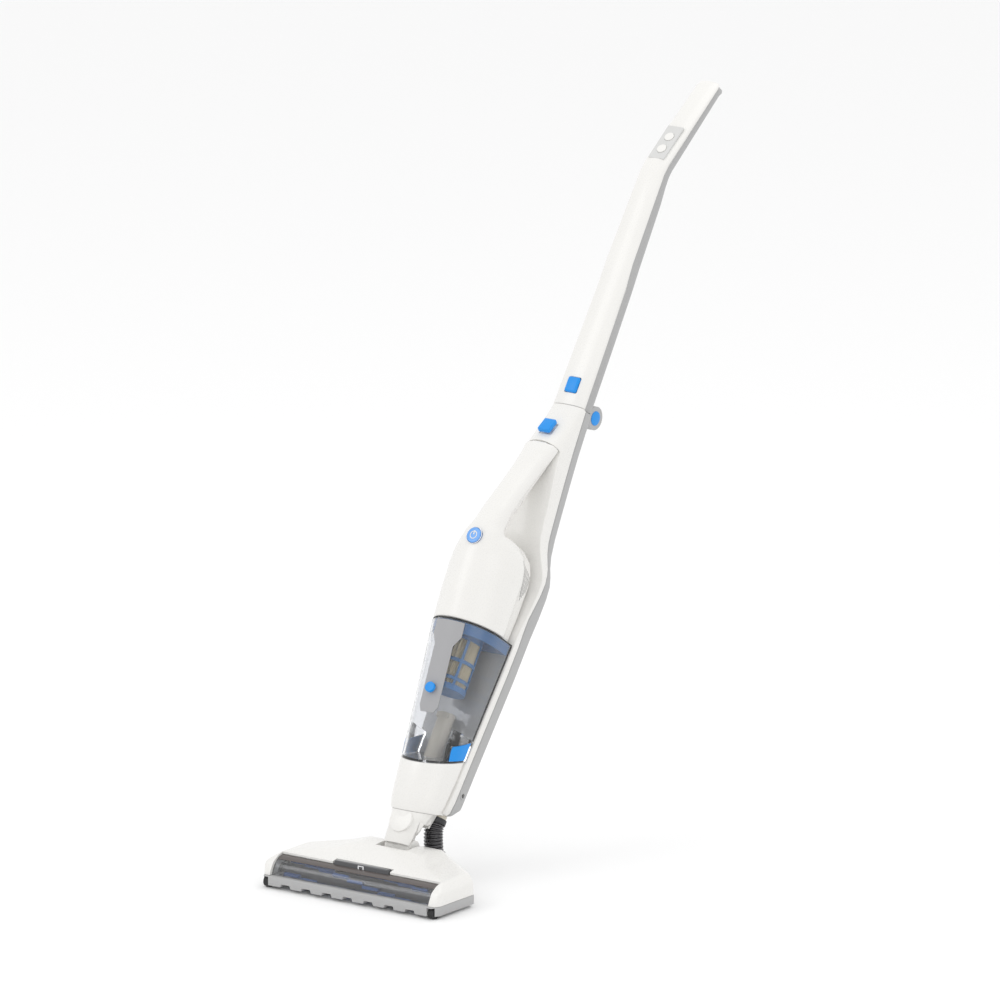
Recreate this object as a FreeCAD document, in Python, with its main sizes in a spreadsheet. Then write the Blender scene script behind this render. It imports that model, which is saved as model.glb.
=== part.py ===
import FreeCAD, Part
import math
import os
import Sketcher

# Cordless stick vacuum: floor head, tilting neck, back frame with a folding handle, and a
# hand-held cleaner with a clear dust cup that pulls forward out of the frame.
# Head parts are drawn standing on the floor under the neck pivot. Everything above the pivot is
# drawn upright (X across, Y towards the back, Z along the stick) and leaned back by its Placement.

doc = FreeCAD.newDocument("stick_vacuum")
sheet = doc.addObject("Spreadsheet::Sheet", "Dims")

DIMS = {
    # overall stance
    "lean": 33.5, "pivot_y": -254.0, "pivot_height": 44.0, "shell_wall": 2.4, "play": 0.4,
    # floor head, distances from the neck pivot
    "head_half": 127.0, "head_front": 107.0, "head_side_back": 30.0, "head_back": 16.0,
    "head_back_half": 44.0, "sole_height": 3.5, "split_height": 15.0, "head_top": 50.0,
    "cover_front_height": 38.5, "recess_half": 23.0, "recess_front": 21.0,
    # brush roll, its window and drive
    "brush_y": -77.0, "brush_height": 15.8, "brush_reach": 15.5, "core_radius": 11.0,
    "brush_half": 106.0, "shaft_radius": 3.0, "run_gap": 0.05, "mouth_half": 109.0,
    "window_radius": 23.3, "window_y": -76.0, "window_height": 12.0, "window_half": 114.0,
    "window_wall": 1.8, "motor_radius": 11.5, "motor_long": 58.0, "motor_y": -36.0,
    "motor_height": 24.0, "pulley_radius": 5.0, "roll_pulley_radius": 8.0, "pulley_wide": 5.0,
    "pulley_x": 113.5, "belt_thick": 1.2,
    # wheels
    "wheel_radius": 6.5, "wheel_wide": 7.0, "wheel_x": 119.0, "front_wheel_y": -99.0,
    "rear_wheel_radius": 8.0, "rear_wheel_x": 62.0, "rear_wheel_y": -22.0,
    "axle_radius": 1.5,
    # head lamp bar
    "lamp_half": 41.0, "lamp_deep": 8.0, "lamp_high": 8.5, "lamp_y": -79.0, "lamp_height": 32.0,
    # suction duct and hose
    "hose_x": 17.0, "hose_y": 39.0, "hose_radius": 11.5, "hose_bore": 9.0, "elbow_top": 30.0,
    "port_y": 22.0, "port_height": 57.0, "hose_rib": 1.5, "rib_pitch": 4.6, "collar_high": 6.0,
    # neck
    "barrel_radius": 11.0, "barrel_half": 17.5, "tilt_pin_radius": 3.0, "swing_height": 28.0,
    "tongue_half": 6.0, "eye_radius": 13.0, "swing_pin_radius": 4.0, "neck_half": 25.0,
    "neck_seam": 42.0, "apron_low": 4.0, "apron_half": 16.0,
    # back frame
    "seam_gap": 0.4, "frame_low": 44.0, "frame_low_half": 34.0, "frame_split": 20.0,
    "frame_back": 36.0, "frame_wide_half": 50.0, "frame_wide_at": 335.0, "spine_half": 31.0,
    "spine_at": 430.0, "fold_at": 567.0, "fold_half": 22.4, "shell_front_low": 26.0,
    # folding handle
    "knob_radius": 14.0, "knob_half": 20.0, "knob_y": 47.0, "fold_pin_radius": 3.0,
    "stick_front": 9.5, "stick_split": 23.0, "bend_at": 872.0, "bend_half": 17.0,
    "grip_angle": 19.5, "grip_long": 138.0, "grip_half": 15.5, "button_travel": 2.0,
    # hand-held cleaner
    "cup_low_at": 96.0, "cup_low_radius": 36.5, "cup_low_y": 2.0, "cup_top_at": 266.0,
    "cup_top_radius": 45.5, "cup_top_y": -18.0, "cup_back": 9.0, "cup_wall": 2.2,
    "edge_slope": 27.0, "housing_half": 46.0, "housing_front": 72.5, "housing_back": 10.0,
    "housing_top": 378.0, "button_at": 366.0, "grip_radius": 13.0, "hand_half": 16.0,
    "hand_travel": 130.0, "cup_travel": 60.0, "filter_radius": 27.0, "filter_long": 82.0,
    # charging socket
    "jack_bore": 2.75, "jack_deep": 9.0, "jack_at": 82.0, "jack_y": 28.0,
}
for row, (alias, value) in enumerate(DIMS.items(), start=1):
    sheet.set("A%d" % row, alias)
    sheet.set("B%d" % row, str(value))
    sheet.setAlias("B%d" % row, alias)
doc.recompute()


def ref(text):
    """Turn each alias in a formula into a reference to the sheet."""
    out, word = "", ""
    for ch in text + " ":
        if ch.isalnum() or ch == "_":
            word += ch
        else:
            out += "Dims." + word if word in DIMS else word
            out += ch
            word = ""
    return out.strip()


def bind(obj, **formulas):
    for prop, formula in formulas.items():
        obj.setExpression(prop.replace("__", "."), ref(str(formula)))
    return obj


def place(obj, x="0", y="0", z="0"):
    obj.setExpression("Placement.Base.x", ref(str(x)))
    obj.setExpression("Placement.Base.y", ref(str(y)))
    obj.setExpression("Placement.Base.z", ref(str(z)))
    return obj


count = {}


def new(kind, name):
    count[name] = count.get(name, 0) + 1
    return doc.addObject(kind, "%s_%d" % (name, count[name]))


AXES = {"x": FreeCAD.Rotation(FreeCAD.Vector(0, 1, 0), 90),
        "y": FreeCAD.Rotation(FreeCAD.Vector(1, 0, 0), -90),
        "z": FreeCAD.Rotation()}


def block(x0, x1, y0, y1, z0, z1):
    """Box between two corners, each given as a formula."""
    obj = new("Part::Box", "block")
    bind(obj, Length="(%s) - (%s)" % (x1, x0), Width="(%s) - (%s)" % (y1, y0),
         Height="(%s) - (%s)" % (z1, z0))
    return place(obj, x0, y0, z0)


def rod(radius, long, x="0", y="0", z="0", axis="z"):
    """Cylinder from a start point along x, y or z."""
    obj = new("Part::Cylinder", "rod")
    bind(obj, Radius=radius, Height=long)
    obj.Placement = FreeCAD.Placement(FreeCAD.Vector(), AXES[axis])
    return place(obj, x, y, z)


def tube(radius, bore, long, x="0", y="0", z="0", axis="z"):
    return cut(rod(radius, long, x, y, z, axis), rod(bore, long, x, y, z, axis))


def cone(low, high, long, x="0", y="0", z="0", axis="z"):
    obj = new("Part::Cone", "cone")
    bind(obj, Radius1=low, Radius2=high, Height=long)
    obj.Placement = FreeCAD.Placement(FreeCAD.Vector(), AXES[axis])
    return place(obj, x, y, z)


def join(*shapes):
    obj = new("Part::MultiFuse", "join")
    obj.Shapes = list(shapes)
    return obj


def meet(*shapes):
    obj = new("Part::MultiCommon", "meet")
    obj.Shapes = list(shapes)
    return obj


def cut(base, *tools):
    obj = new("Part::Cut", "cut")
    obj.Base = base
    obj.Tool = tools[0] if len(tools) == 1 else join(*tools)
    return obj


def turn(shape, axis, angle, x="0", y="0", z="0"):
    """A copy of a shape turned about an axis through a point."""
    vec = {"x": FreeCAD.Vector(1, 0, 0), "y": FreeCAD.Vector(0, 1, 0), "z": FreeCAD.Vector(0, 0, 1)}
    obj = new("Part::Compound", "turned")
    obj.Links = [shape]
    obj.Placement = FreeCAD.Placement(FreeCAD.Vector(), FreeCAD.Rotation(vec[axis], angle))
    return place(obj, x, y, z)


PLANES = {"xy": FreeCAD.Rotation(),
          "xz": FreeCAD.Rotation(FreeCAD.Vector(1, 0, 0), 90),
          "yz": FreeCAD.Rotation(FreeCAD.Vector(1, 1, 1), 120)}


def outline(points, plane, offset="0"):
    """Closed polygon sketch; every corner's two distances are bound to formulas."""
    obj = new("Sketcher::SketchObject", "outline")
    obj.Placement = FreeCAD.Placement(FreeCAD.Vector(), PLANES[plane])
    along = {"xy": "z", "xz": "y", "yz": "x"}[plane]
    obj.setExpression("Placement.Base." + along, ref(str(offset)))
    values = []
    for a, b in points:
        values.append((evaluate(a), evaluate(b)))
    n = len(points)
    for i in range(n):
        p, q = values[i], values[(i + 1) % n]
        obj.addGeometry(Part.LineSegment(FreeCAD.Vector(p[0], p[1], 0),
                                         FreeCAD.Vector(q[0], q[1], 0)), False)
    for i in range(n):
        obj.addConstraint(Sketcher.Constraint("Coincident", i, 2, (i + 1) % n, 1))
    for i, (a, b) in enumerate(points):
        for kind, formula, value in (("DistanceX", a, values[i][0]), ("DistanceY", b, values[i][1])):
            if abs(value) < 1e-9:
                value = 0.0
            k = obj.addConstraint(Sketcher.Constraint(kind, -1, 1, i, 1, value))
            obj.setExpression("Constraints[%d]" % k, ref(str(formula)))
    return obj


def evaluate(formula):
    """Value of a formula of sheet words, for a sketch's starting shape."""
    return float(sheet.evalExpression(ref(str(formula)).replace("Dims.", "")))


def prism(points, plane, start, end):
    """A polygon pushed from start to end along the axis its plane leaves out."""
    sketch = outline(points, plane, start)
    obj = new("Part::Extrusion", "prism")
    obj.Base = sketch
    obj.DirMode = "Custom"
    obj.Dir = {"xy": FreeCAD.Vector(0, 0, 1), "xz": FreeCAD.Vector(0, 1, 0),
               "yz": FreeCAD.Vector(1, 0, 0)}[plane]
    obj.Solid = True
    bind(obj, LengthFwd="(%s) - (%s)" % (end, start))
    return obj


def dee(z, half, front, shoulder, back, back_half=None):
    """Section with a round front: an arc from flank to flank, straight flanks and a flat back."""
    back_half = half if back_half is None else back_half
    h, f, s, b, bh = [evaluate(q) for q in (half, front, shoulder, back, back_half)]
    sag = s - f
    radius = (h * h + sag * sag) / (2 * sag)
    obj = new("Sketcher::SketchObject", "dee")
    arc = Part.Arc(FreeCAD.Vector(-h, s, 0), FreeCAD.Vector(0, f, 0), FreeCAD.Vector(h, s, 0))
    obj.addGeometry(arc, False)
    corners = [(h, s), (bh, b), (-bh, b), (-h, s)]
    for i in range(3):
        obj.addGeometry(Part.LineSegment(FreeCAD.Vector(*corners[i], 0),
                                         FreeCAD.Vector(*corners[i + 1], 0)), False)
    for a, pa, c, pc in ((0, 2, 1, 1), (1, 2, 2, 1), (2, 2, 3, 1), (3, 2, 0, 1)):
        obj.addConstraint(Sketcher.Constraint("Coincident", a, pa, c, pc))
    spots = ((1, 1, half, shoulder, h, s), (2, 1, back_half, back, bh, b),
             (3, 1, "-(%s)" % back_half, back, -bh, b), (0, 1, "-(%s)" % half, shoulder, -h, s))
    for geo, pt, fx, fy, vx, vy in spots:
        for kind, formula, value in (("DistanceX", fx, vx), ("DistanceY", fy, vy)):
            k = obj.addConstraint(Sketcher.Constraint(kind, -1, 1, geo, pt, value))
            obj.setExpression("Constraints[%d]" % k, ref(str(formula)))
    k = obj.addConstraint(Sketcher.Constraint("DistanceY", -1, 1, 0, 3, f + radius))
    rise = "((%s) - (%s))" % (shoulder, front)
    obj.setExpression("Constraints[%d]" % k,
                      ref("(%s) + ((%s) * (%s) + %s * %s) / (2 * %s)" % (front, half, half, rise, rise, rise)))
    obj.setExpression("Placement.Base.z", ref(str(z)))
    return obj


def loft(*sections):
    obj = new("Part::Loft", "loft")
    obj.Sections = list(sections)
    obj.Solid = True
    obj.Ruled = True
    return obj


def soften(shape, radius, pick):
    """Round the edges whose middle points pass the test."""
    doc.recompute()
    edges = []
    for i, edge in enumerate(shape.Shape.Edges, start=1):
        c = edge.valueAt((edge.FirstParameter + edge.LastParameter) / 2)
        if pick(edge, c):
            edges.append((i, radius, radius))
    obj = new("Part::Fillet", "soft")
    obj.Base = shape
    obj.Edges = edges
    return obj


nodes = []


def node(name, shape, place_as):
    """Name a finished piece and stand it on the floor ("head") or on the leaned stick."""
    holder = doc.addObject("Part::Compound", name)
    holder.Label = name
    holder.Links = [shape]
    angle = 0 if place_as == "head" else 1
    holder.Placement = FreeCAD.Placement(FreeCAD.Vector(), FreeCAD.Rotation(FreeCAD.Vector(-1, 0, 0), 10))
    holder.setExpression("Placement.Base.y", ref("pivot_y"))
    holder.setExpression("Placement.Base.z", ref("pivot_height") if angle else "0")
    holder.setExpression("Placement.Rotation.Angle", ref("lean") if angle else "0")
    nodes.append(holder)
    return holder


def head(name, shape):
    return node(name, shape, "head")


def stick(name, shape):
    return node(name, shape, "stick")


# ---------------------------------------------------------------- floor head
def head_plan(inset, low, high):
    """The head's outline from above, pushed up between two heights."""
    side, front, back = "head_half - %s" % inset, "-head_front + %s" % inset, "head_back - %s" % inset
    corner = "-head_side_back - %s" % inset
    points = [("-(%s) + 6" % side, front), ("%s - 6" % side, front), (side, "%s + 9" % front),
              (side, corner), ("head_back_half - %s" % inset, back),
              ("-head_back_half + %s" % inset, back), ("-(%s)" % side, corner),
              ("-(%s)" % side, "%s + 9" % front)]
    return prism(points, "xy", low, high)


def head_side(drop):
    """The head's outline from the side, pushed across its width."""
    front = "-head_front + %s" % drop
    points = [(front, "split_height"), ("-head_front + 4 + %s" % drop, "25 - %s" % drop),
              ("-head_front + 15 + %s" % drop, "34 - %s" % drop),
              ("lamp_y + 2", "cover_front_height - %s" % drop), ("-24", "head_top - 1 - %s" % drop),
              ("-4", "head_top - %s" % drop), ("head_back - 4 - %s" % drop, "head_top - 3 - %s" % drop),
              ("head_back - %s" % drop, "head_top - 10 - %s" % drop),
              ("head_back - %s" % drop, "split_height")]
    return prism(points, "yz", "-head_half", "head_half")


def front_view(points, start, end):
    """A polygon drawn from the front, pushed back from start to end."""
    sketch = outline(points, "xz", start)
    obj = new("Part::Extrusion", "prism")
    obj.Base = sketch
    obj.DirMode = "Custom"
    obj.Dir = FreeCAD.Vector(0, 1, 0)
    obj.Solid = True
    bind(obj, LengthFwd="(%s) - (%s)" % (end, start))
    return obj


def slopes(drop):
    side, top = "head_half - %s" % drop, "head_top - %s" % drop
    points = [("-(%s)" % side, "0"), (side, "0"), (side, "30 - %s" % drop),
              ("%s - 12" % side, "41 - %s" % drop), ("64", "%s - 5" % top), ("40", top), ("-40", top),
              ("-64", "%s - 5" % top), ("-(%s) + 12" % side, "41 - %s" % drop),
              ("-(%s)" % side, "30 - %s" % drop)]
    return front_view(points, "-head_front - 5", "head_back + 5")


def head_body(inset, low):
    return meet(head_plan(inset, low, "head_top + 5"), head_side(inset), slopes(inset))


recess = block("-recess_half", "recess_half", "-recess_front", "head_back + 10", "0", "head_top + 10")
window_hole = meet(
    rod("window_radius + 0.5", "2 * window_half + 1", "-window_half - 0.5", "window_y", "window_height", "x"),
    block("-window_half - 0.5", "window_half + 0.5", "-head_front - 5", "lamp_y + lamp_deep + 0.4",
          "split_height - 1", "head_top"))
lamp_hole = block("-lamp_half - 0.3", "lamp_half + 0.3", "lamp_y - 12", "lamp_y + lamp_deep + 0.3",
                  "lamp_height - 0.3", "head_top")
duct_hole = rod("hose_bore + 3.5", "40", "hose_x", "-8", "22", "y")
# Suction duct: a flat box behind the brush, a bend beside the pivot and an elbow up to the hose.
duct_out = join(block("hose_x - 20", "hose_x + 20", "brush_y + brush_reach + 2.8", "-26", "6.4", "27"),
                block("hose_x + 9.5 - 2.5", "hose_x + 24", "-27", "head_back + 2", "6.4", "29"),
                rod("hose_radius", "elbow_top - 8", "hose_x", "hose_y", "8", "z"),
                block("hose_x", "hose_x + hose_radius", "head_back", "hose_y", "8", "26"),
                block("hose_x + 7", "hose_x + 24", "head_back - 6", "head_back + 14", "8", "26"))
duct_in = join(block("hose_x - 18", "hose_x + 18", "brush_y + brush_reach", "-28", "8.4", "25"),
               block("hose_x + 9.5", "hose_x + 22", "-29", "head_back + 1", "8.4", "27"),
               rod("hose_bore", "elbow_top", "hose_x", "hose_y", "10", "z"),
               block("hose_x + 2", "hose_x + 9", "head_back + 2", "hose_y", "10", "24"),
               block("hose_x + 9", "hose_x + 22", "head_back - 4", "head_back + 12", "10", "24"))
cover_shape = cut(head_body("0", "split_height"), head_body("shell_wall", "split_height - 1"),
                  recess, window_hole, lamp_hole, duct_hole, duct_out)
head("head_cover", cover_shape)

# The grey base: a tray with the brush mouth, wheel pockets and the two ears that hold the tilt pin.
tray = cut(meet(head_plan("0", "sole_height", "split_height - seam_gap")),
           head_plan("shell_wall", "sole_height + 2.4", "split_height + 5"))
mouth = block("-mouth_half", "mouth_half", "brush_y - brush_reach - 2.5", "brush_y + brush_reach + 2.5",
              "0", "head_top")
notches = [block("%s" % (k * 30 - 7), "%s" % (k * 30 + 7), "-head_front - 1", "-head_front + 8",
                 "0", "sole_height + 4") for k in (-3, -2, -1, 0, 1, 2, 3)]
wheel_pockets = []
for side in (-1, 1):
    wheel_pockets.append(block("%d * wheel_x - wheel_wide / 2 - 0.8" % side,
                               "%d * wheel_x + wheel_wide / 2 + 0.8" % side,
                               "-head_front - 1", "front_wheel_y + wheel_radius + 1", "0",
                               "2 * wheel_radius + 1"))
    wheel_pockets.append(block("%d * rear_wheel_x - wheel_wide / 2 - 0.8" % side,
                               "%d * rear_wheel_x + wheel_wide / 2 + 0.8" % side,
                               "rear_wheel_y - rear_wheel_radius - 1",
                               "rear_wheel_y + rear_wheel_radius + 1", "0",
                               "2 * rear_wheel_radius + 1"))
ears = []
for side in (-1, 1):
    ear = join(block("%d * (barrel_half + 3.3) - 2.5" % side, "%d * (barrel_half + 3.3) + 2.5" % side,
                     "-9", "9", "sole_height + 1", "pivot_height"),
               rod("9", "5", "%d * (barrel_half + 3.3) - 2.5" % side, "0", "pivot_height", "x"))
    ears.append(ear)
brush_walls = [block("%d * (mouth_half + 1.5) - 1.4" % side, "%d * (mouth_half + 1.5) + 1.4" % side,
                     "brush_y - 14", "brush_y + 14", "sole_height + 1", "brush_height + 8")
               for side in (-1, 1)]
wheel_walls = []
for side in (-1, 1):
    for edge in (-1, 1):
        wheel_walls.append(block(
            "%d * rear_wheel_x + %d * (wheel_wide / 2 + 2.3) - 1.2" % (side, edge),
            "%d * rear_wheel_x + %d * (wheel_wide / 2 + 2.3) + 1.2" % (side, edge),
            "rear_wheel_y - 5", "rear_wheel_y + 5", "sole_height + 1", "rear_wheel_radius + 5"))
axle_holes = [rod("axle_radius", "2 * head_half", "-head_half", "rear_wheel_y", "rear_wheel_radius", "x"),
              rod("axle_radius", "2 * head_half", "-head_half", "front_wheel_y", "wheel_radius", "x")]
pin_hole = rod("tilt_pin_radius", "60", "-30", "0", "pivot_height", "x")
shaft_hole = rod("6", "2 * mouth_half + 20", "-mouth_half - 10", "brush_y", "brush_height", "x")
base_solid = join(cut(tray, mouth, *(notches + wheel_pockets)), *(ears + wheel_walls + brush_walls))
front_blocks = [block("%d * wheel_x + %d * (wheel_wide / 2 + 1.9) - 1.1" % (side, edge),
                      "%d * wheel_x + %d * (wheel_wide / 2 + 1.9) + 1.1" % (side, edge),
                      "front_wheel_y - 3.5", "front_wheel_y + 4", "sole_height + 1",
                      "split_height - seam_gap") for side in (-1, 1) for edge in (-1, 1)]
head("head_base", cut(meet(join(base_solid, *front_blocks),
                           join(head_plan("0", "sole_height", "split_height - seam_gap"),
                                block("-mouth_half - 10", "mouth_half + 10", "-90", "14",
                                      "sole_height", "pivot_height + 12"))),
                      pin_hole, shaft_hole, cover_shape, duct_out, *axle_holes))

# Smoked window: a curved strip over the front of the brush.
window_ring = tube("window_radius", "window_radius - window_wall", "2 * window_half", "-window_half",
                   "window_y", "window_height", "x")
window_keep = block("-window_half", "window_half", "-head_front - 5", "lamp_y - 0.3",
                    "split_height + 0.3", "head_top")
head("brush_window", meet(window_ring, window_keep))

# Lamp bar with its circuit strip behind the lens.
lamp_box = block("-lamp_half", "lamp_half", "lamp_y", "lamp_y + lamp_deep", "lamp_height",
                 "lamp_height + lamp_high")
lamp_space = block("-lamp_half + 1.5", "lamp_half - 1.5", "lamp_y + 1.8", "lamp_y + lamp_deep + 1",
                   "lamp_height + 1.5", "lamp_height + lamp_high - 1.5")
head("led_bar", cut(lamp_box, lamp_space))
leds = [block("%d - 2.2" % x, "%d + 2.2" % x, "lamp_y + 2.8", "lamp_y + lamp_deep - 1.6",
              "lamp_height + 2.4", "lamp_height + 6") for x in (-28, -14, 0, 14, 28)]
head("led_board", join(block("-lamp_half + 3", "lamp_half - 3", "lamp_y + lamp_deep - 1.8",
                             "lamp_y + lamp_deep - 0.3", "lamp_height + 2", "lamp_height + 6.6"),
                       *leds))

# Brush roll: core with stub shafts in two bushes, rows of tufts, driven by a belt from its motor.
spin = "2 * brush_half"
head("brush_core", join(rod("core_radius", spin, "-brush_half", "brush_y", "brush_height", "x"),
                        rod("shaft_radius", "2 * mouth_half + 12", "-mouth_half - 6", "brush_y",
                            "brush_height", "x")))
tuft_rows = []
for row in range(4):
    for step in range(9):
        angle = row * 90 + step * 16
        strip = block("-brush_half + 4 + %d * (brush_half - 4) * 2 / 9" % step,
                      "-brush_half + 3.6 + %d * (brush_half - 4) * 2 / 9" % (step + 1),
                      "-1.6", "1.6", "core_radius - 1", "brush_reach")
        tuft_rows.append(turn(strip, "x", angle, "0", "brush_y", "brush_height"))
head("brush_bristles", cut(join(*tuft_rows),
                           rod("core_radius", spin, "-brush_half", "brush_y", "brush_height", "x")))
for side, word in ((-1, "left"), (1, "right")):
    start = "%d * (mouth_half + 1.5) - 2" % side
    head("brush_bush_" + word, tube("6", "shaft_radius + run_gap", "4", start, "brush_y",
                                    "brush_height", "x"))
head("roll_pulley", tube("roll_pulley_radius", "shaft_radius", "pulley_wide", "-pulley_x - pulley_wide",
                         "brush_y", "brush_height", "x"))
motor_start = "-pulley_x + 9"
motor_can = join(rod("motor_radius", "motor_long", motor_start, "motor_y", "motor_height", "x"),
                 rod("4", "2", "%s - 2" % motor_start, "motor_y", "motor_height", "x"))
head("brush_motor", cut(motor_can,
                        rod("8.4", "42", "%s + 8" % motor_start, "motor_y", "motor_height", "x"),
                        rod("1.5 + run_gap", "62", "%s - 5" % motor_start, "motor_y", "motor_height", "x")))
head("motor_rotor", join(rod("8", "40", "%s + 9" % motor_start, "motor_y", "motor_height", "x"),
                         rod("1.5", "65", "-pulley_x - pulley_wide", "motor_y", "motor_height", "x")))
head("motor_pulley", tube("pulley_radius", "1.5", "pulley_wide", "-pulley_x - pulley_wide", "motor_y",
                          "motor_height", "x"))


def belt(grow):
    """Closed band round both pulleys, its straight runs drawn as a hull of two rods."""
    mid_y, mid_z = "(brush_y + motor_y) / 2", "(brush_height + motor_height) / 2"
    span = "sqrt((motor_y - brush_y)^2 + (motor_height - brush_height)^2)"
    big, small = "roll_pulley_radius + %s" % grow, "pulley_radius + %s" % grow
    lean_out = "(roll_pulley_radius - pulley_radius) / (%s)" % span
    run = "sqrt(1 - (%s)^2)" % lean_out
    points = [("(%s) * %s" % (big, lean_out), "(%s) * %s" % (big, run)),
              ("%s + (%s) * %s" % (span, small, lean_out), "(%s) * %s" % (small, run)),
              ("%s + (%s) * %s" % (span, small, lean_out), "-(%s) * %s" % (small, run)),
              ("(%s) * %s" % (big, lean_out), "-(%s) * %s" % (big, run))]
    flat = prism(points, "yz", "-pulley_x - pulley_wide + 0.5", "-pulley_x - 0.5")
    web = join(flat, rod(big, "pulley_wide - 1", "-pulley_x - pulley_wide + 0.5", "0", "0", "x"),
               rod(small, "pulley_wide - 1", "-pulley_x - pulley_wide + 0.5", span, "0", "x"))
    tilt = new("Part::Compound", "belt")
    tilt.Links = [web]
    tilt.Placement = FreeCAD.Placement(FreeCAD.Vector(), FreeCAD.Rotation(FreeCAD.Vector(1, 0, 0), 10))
    tilt.setExpression("Placement.Rotation.Angle",
                       ref("atan((motor_height - brush_height) / (motor_y - brush_y))"))
    return place(tilt, "0", "brush_y", "brush_height")


head("drive_belt", cut(belt("belt_thick + 0.05"), belt("0.05")))

# Four small wheels with their own stub axles.
for side, word in ((-1, "left"), (1, "right")):
    for x, y, r, row in (("wheel_x", "front_wheel_y", "wheel_radius", "front"),
                         ("rear_wheel_x", "rear_wheel_y", "rear_wheel_radius", "rear")):
        long = "wheel_wide + 4.4"
        head("%s_wheel_%s" % (row, word),
             join(rod(r, "wheel_wide", "%d * %s - wheel_wide / 2" % (side, x), y, r, "x"),
                  rod("axle_radius - run_gap", long, "%d * %s - (%s) / 2" % (side, x, long), y, r, "x")))

head("head_duct", cut(duct_out, duct_in))
head("tilt_pin", rod("tilt_pin_radius - run_gap", "2 * barrel_half + 12", "-barrel_half - 6", "0",
                     "pivot_height", "x"))
screws = []
for x, y in ((-106, -50), (106, -50), (-52, -8), (52, -8)):
    screws.append(join(rod("1.4", "20", str(x), str(y), "sole_height + 2.6"),
                       rod("2.8", "2", str(x), str(y), "sole_height + 2.6")))
head("head_screws", join(*screws))

# ---------------------------------------------------------------- neck
barrel = join(rod("barrel_radius", "2 * barrel_half", "-barrel_half", "0", "0", "x"),
              block("-9", "9", "-tongue_half", "tongue_half", "0", "swing_height"),
              rod("eye_radius", "2 * tongue_half", "0", "-tongue_half", "swing_height", "y"))
stick("neck_yoke", cut(barrel, rod("tilt_pin_radius", "80", "-40", "0", "0", "x"),
                       rod("swing_pin_radius", "40", "0", "-20", "swing_height", "y")))
stick("swing_pin", rod("swing_pin_radius - run_gap", "26", "0", "-15.5", "swing_height", "y"))
neck_outer = loft(dee("swing_height + 4", "neck_half - 2", "-18", "-5", "11"),
                  dee("neck_seam", "neck_half + 2", "-22", "-4", "11"))
neck_room = block("-21", "21", "-12.5", "8.4", "swing_height", "neck_seam + 1")
apron = front_view([("-apron_half + 4", "apron_low"), ("apron_half - 4", "apron_low"),
                    ("neck_half - 2", "swing_height + 4.5"), ("-neck_half + 2", "swing_height + 4.5")],
                   "-18", "-14")
back_plate = block("-10", "10", "8.4", "11", "swing_height - 8", "neck_seam")
pin_seat = rod("swing_pin_radius - run_gap", "60", "0", "-30", "swing_height", "y")
stick("neck_shell", cut(join(cut(neck_outer, neck_room), apron, back_plate), pin_seat))

# ---------------------------------------------------------------- back frame
frame_right = [("frame_low_half", "frame_low"), ("frame_low_half + 3", "frame_low + 18"),
               ("(frame_low_half + frame_wide_half) / 2", "(frame_low + frame_wide_at) / 2 - 20"),
               ("frame_wide_half - 0.7", "frame_wide_at - 38"), ("frame_wide_half", "frame_wide_at"),
               ("frame_wide_half - 0.7", "frame_wide_at + 16"),
               ("frame_wide_half - 5", "frame_wide_at + 28"),
               ("frame_wide_half - 12.5", "frame_wide_at + 49"), ("spine_half + 2.5", "spine_at - 21"),
               ("spine_half", "spine_at"), ("(spine_half + fold_half) / 2 - 1.2", "fold_at - 55"),
               ("fold_half", "fold_at - seam_gap")]


def both_sides(right, inset="0"):
    """Mirror a list of right-hand corners, drawn in by the inset."""
    pts = [("%s - (%s)" % (x, inset), z) for x, z in right]
    return pts + [("-(%s - (%s))" % (x, inset), z) for x, z in reversed(right)]


def frame_outline(inset):
    return front_view(both_sides(frame_right, inset), "-60", "frame_back + 10")


edge = "tan(edge_slope)"
shell_edge = "cup_low_at - seam_gap + (%s) * (11 + cup_low_radius - cup_low_y)"
above_shell = prism([("-90", "cup_low_at - seam_gap - (90 - cup_low_radius + cup_low_y) * tan(edge_slope)"),
                     ("housing_back + 1",
                      "cup_low_at - seam_gap + (housing_back + 1 + cup_low_radius - cup_low_y) * tan(edge_slope)"),
                     ("housing_back + 1", "700"), ("-90", "700")], "yz", "-70", "70")


def low_shell(inset, start):
    return loft(dee(start, "frame_low_half - 2 - %s" % inset, "-shell_front_low + 2 + %s" % inset, "0",
                    "frame_split", "frame_low_half - %s" % inset),
                dee("cup_low_at + 3", "cup_low_radius + 1.5 - %s" % inset,
                    "cup_low_y - cup_low_radius - 1 + %s" % inset, "cup_low_y", "frame_split",
                    "cup_low_radius + 2.5 - %s" % inset),
                dee("cup_low_at + 50", "cup_low_radius + 4.4 - %s" % inset,
                    "cup_low_y - cup_low_radius - 9 + %s" % inset, "cup_low_y - 5", "frame_split",
                    "cup_low_radius + 5 - %s" % inset))


front_face = "housing_back + 1"
profile_front = [(front_face, "frame_low + 56"), (front_face, "frame_wide_at + 38"),
                 ("5", "spine_at - 15"), ("-1", "fold_at - 79"), ("-1.5", "fold_at - 62"),
                 ("-15", "fold_at - 55.6"), ("stick_front", "fold_at - 4"),
                 ("stick_front", "fold_at - seam_gap"), ("stick_split", "fold_at - seam_gap"),
                 ("stick_split + 1", "spine_at - 45"), ("stick_split + 4", "frame_wide_at + 25"),
                 ("frame_split", "frame_wide_at - 35"), ("frame_split", "frame_low + 56")]
profile_room = [("housing_back + 3.4", "frame_low + 70"), ("housing_back + 3.4", "frame_wide_at + 37"),
                ("7.6", "spine_at - 13"), ("1.6", "fold_at - 77"), ("1", "fold_at - 58"),
                ("-6", "fold_at - 53"), ("12.5", "fold_at - 9"), ("12.5", "fold_at - 4"),
                ("frame_back", "fold_at - 4"), ("frame_back", "frame_low + 70")]
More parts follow.
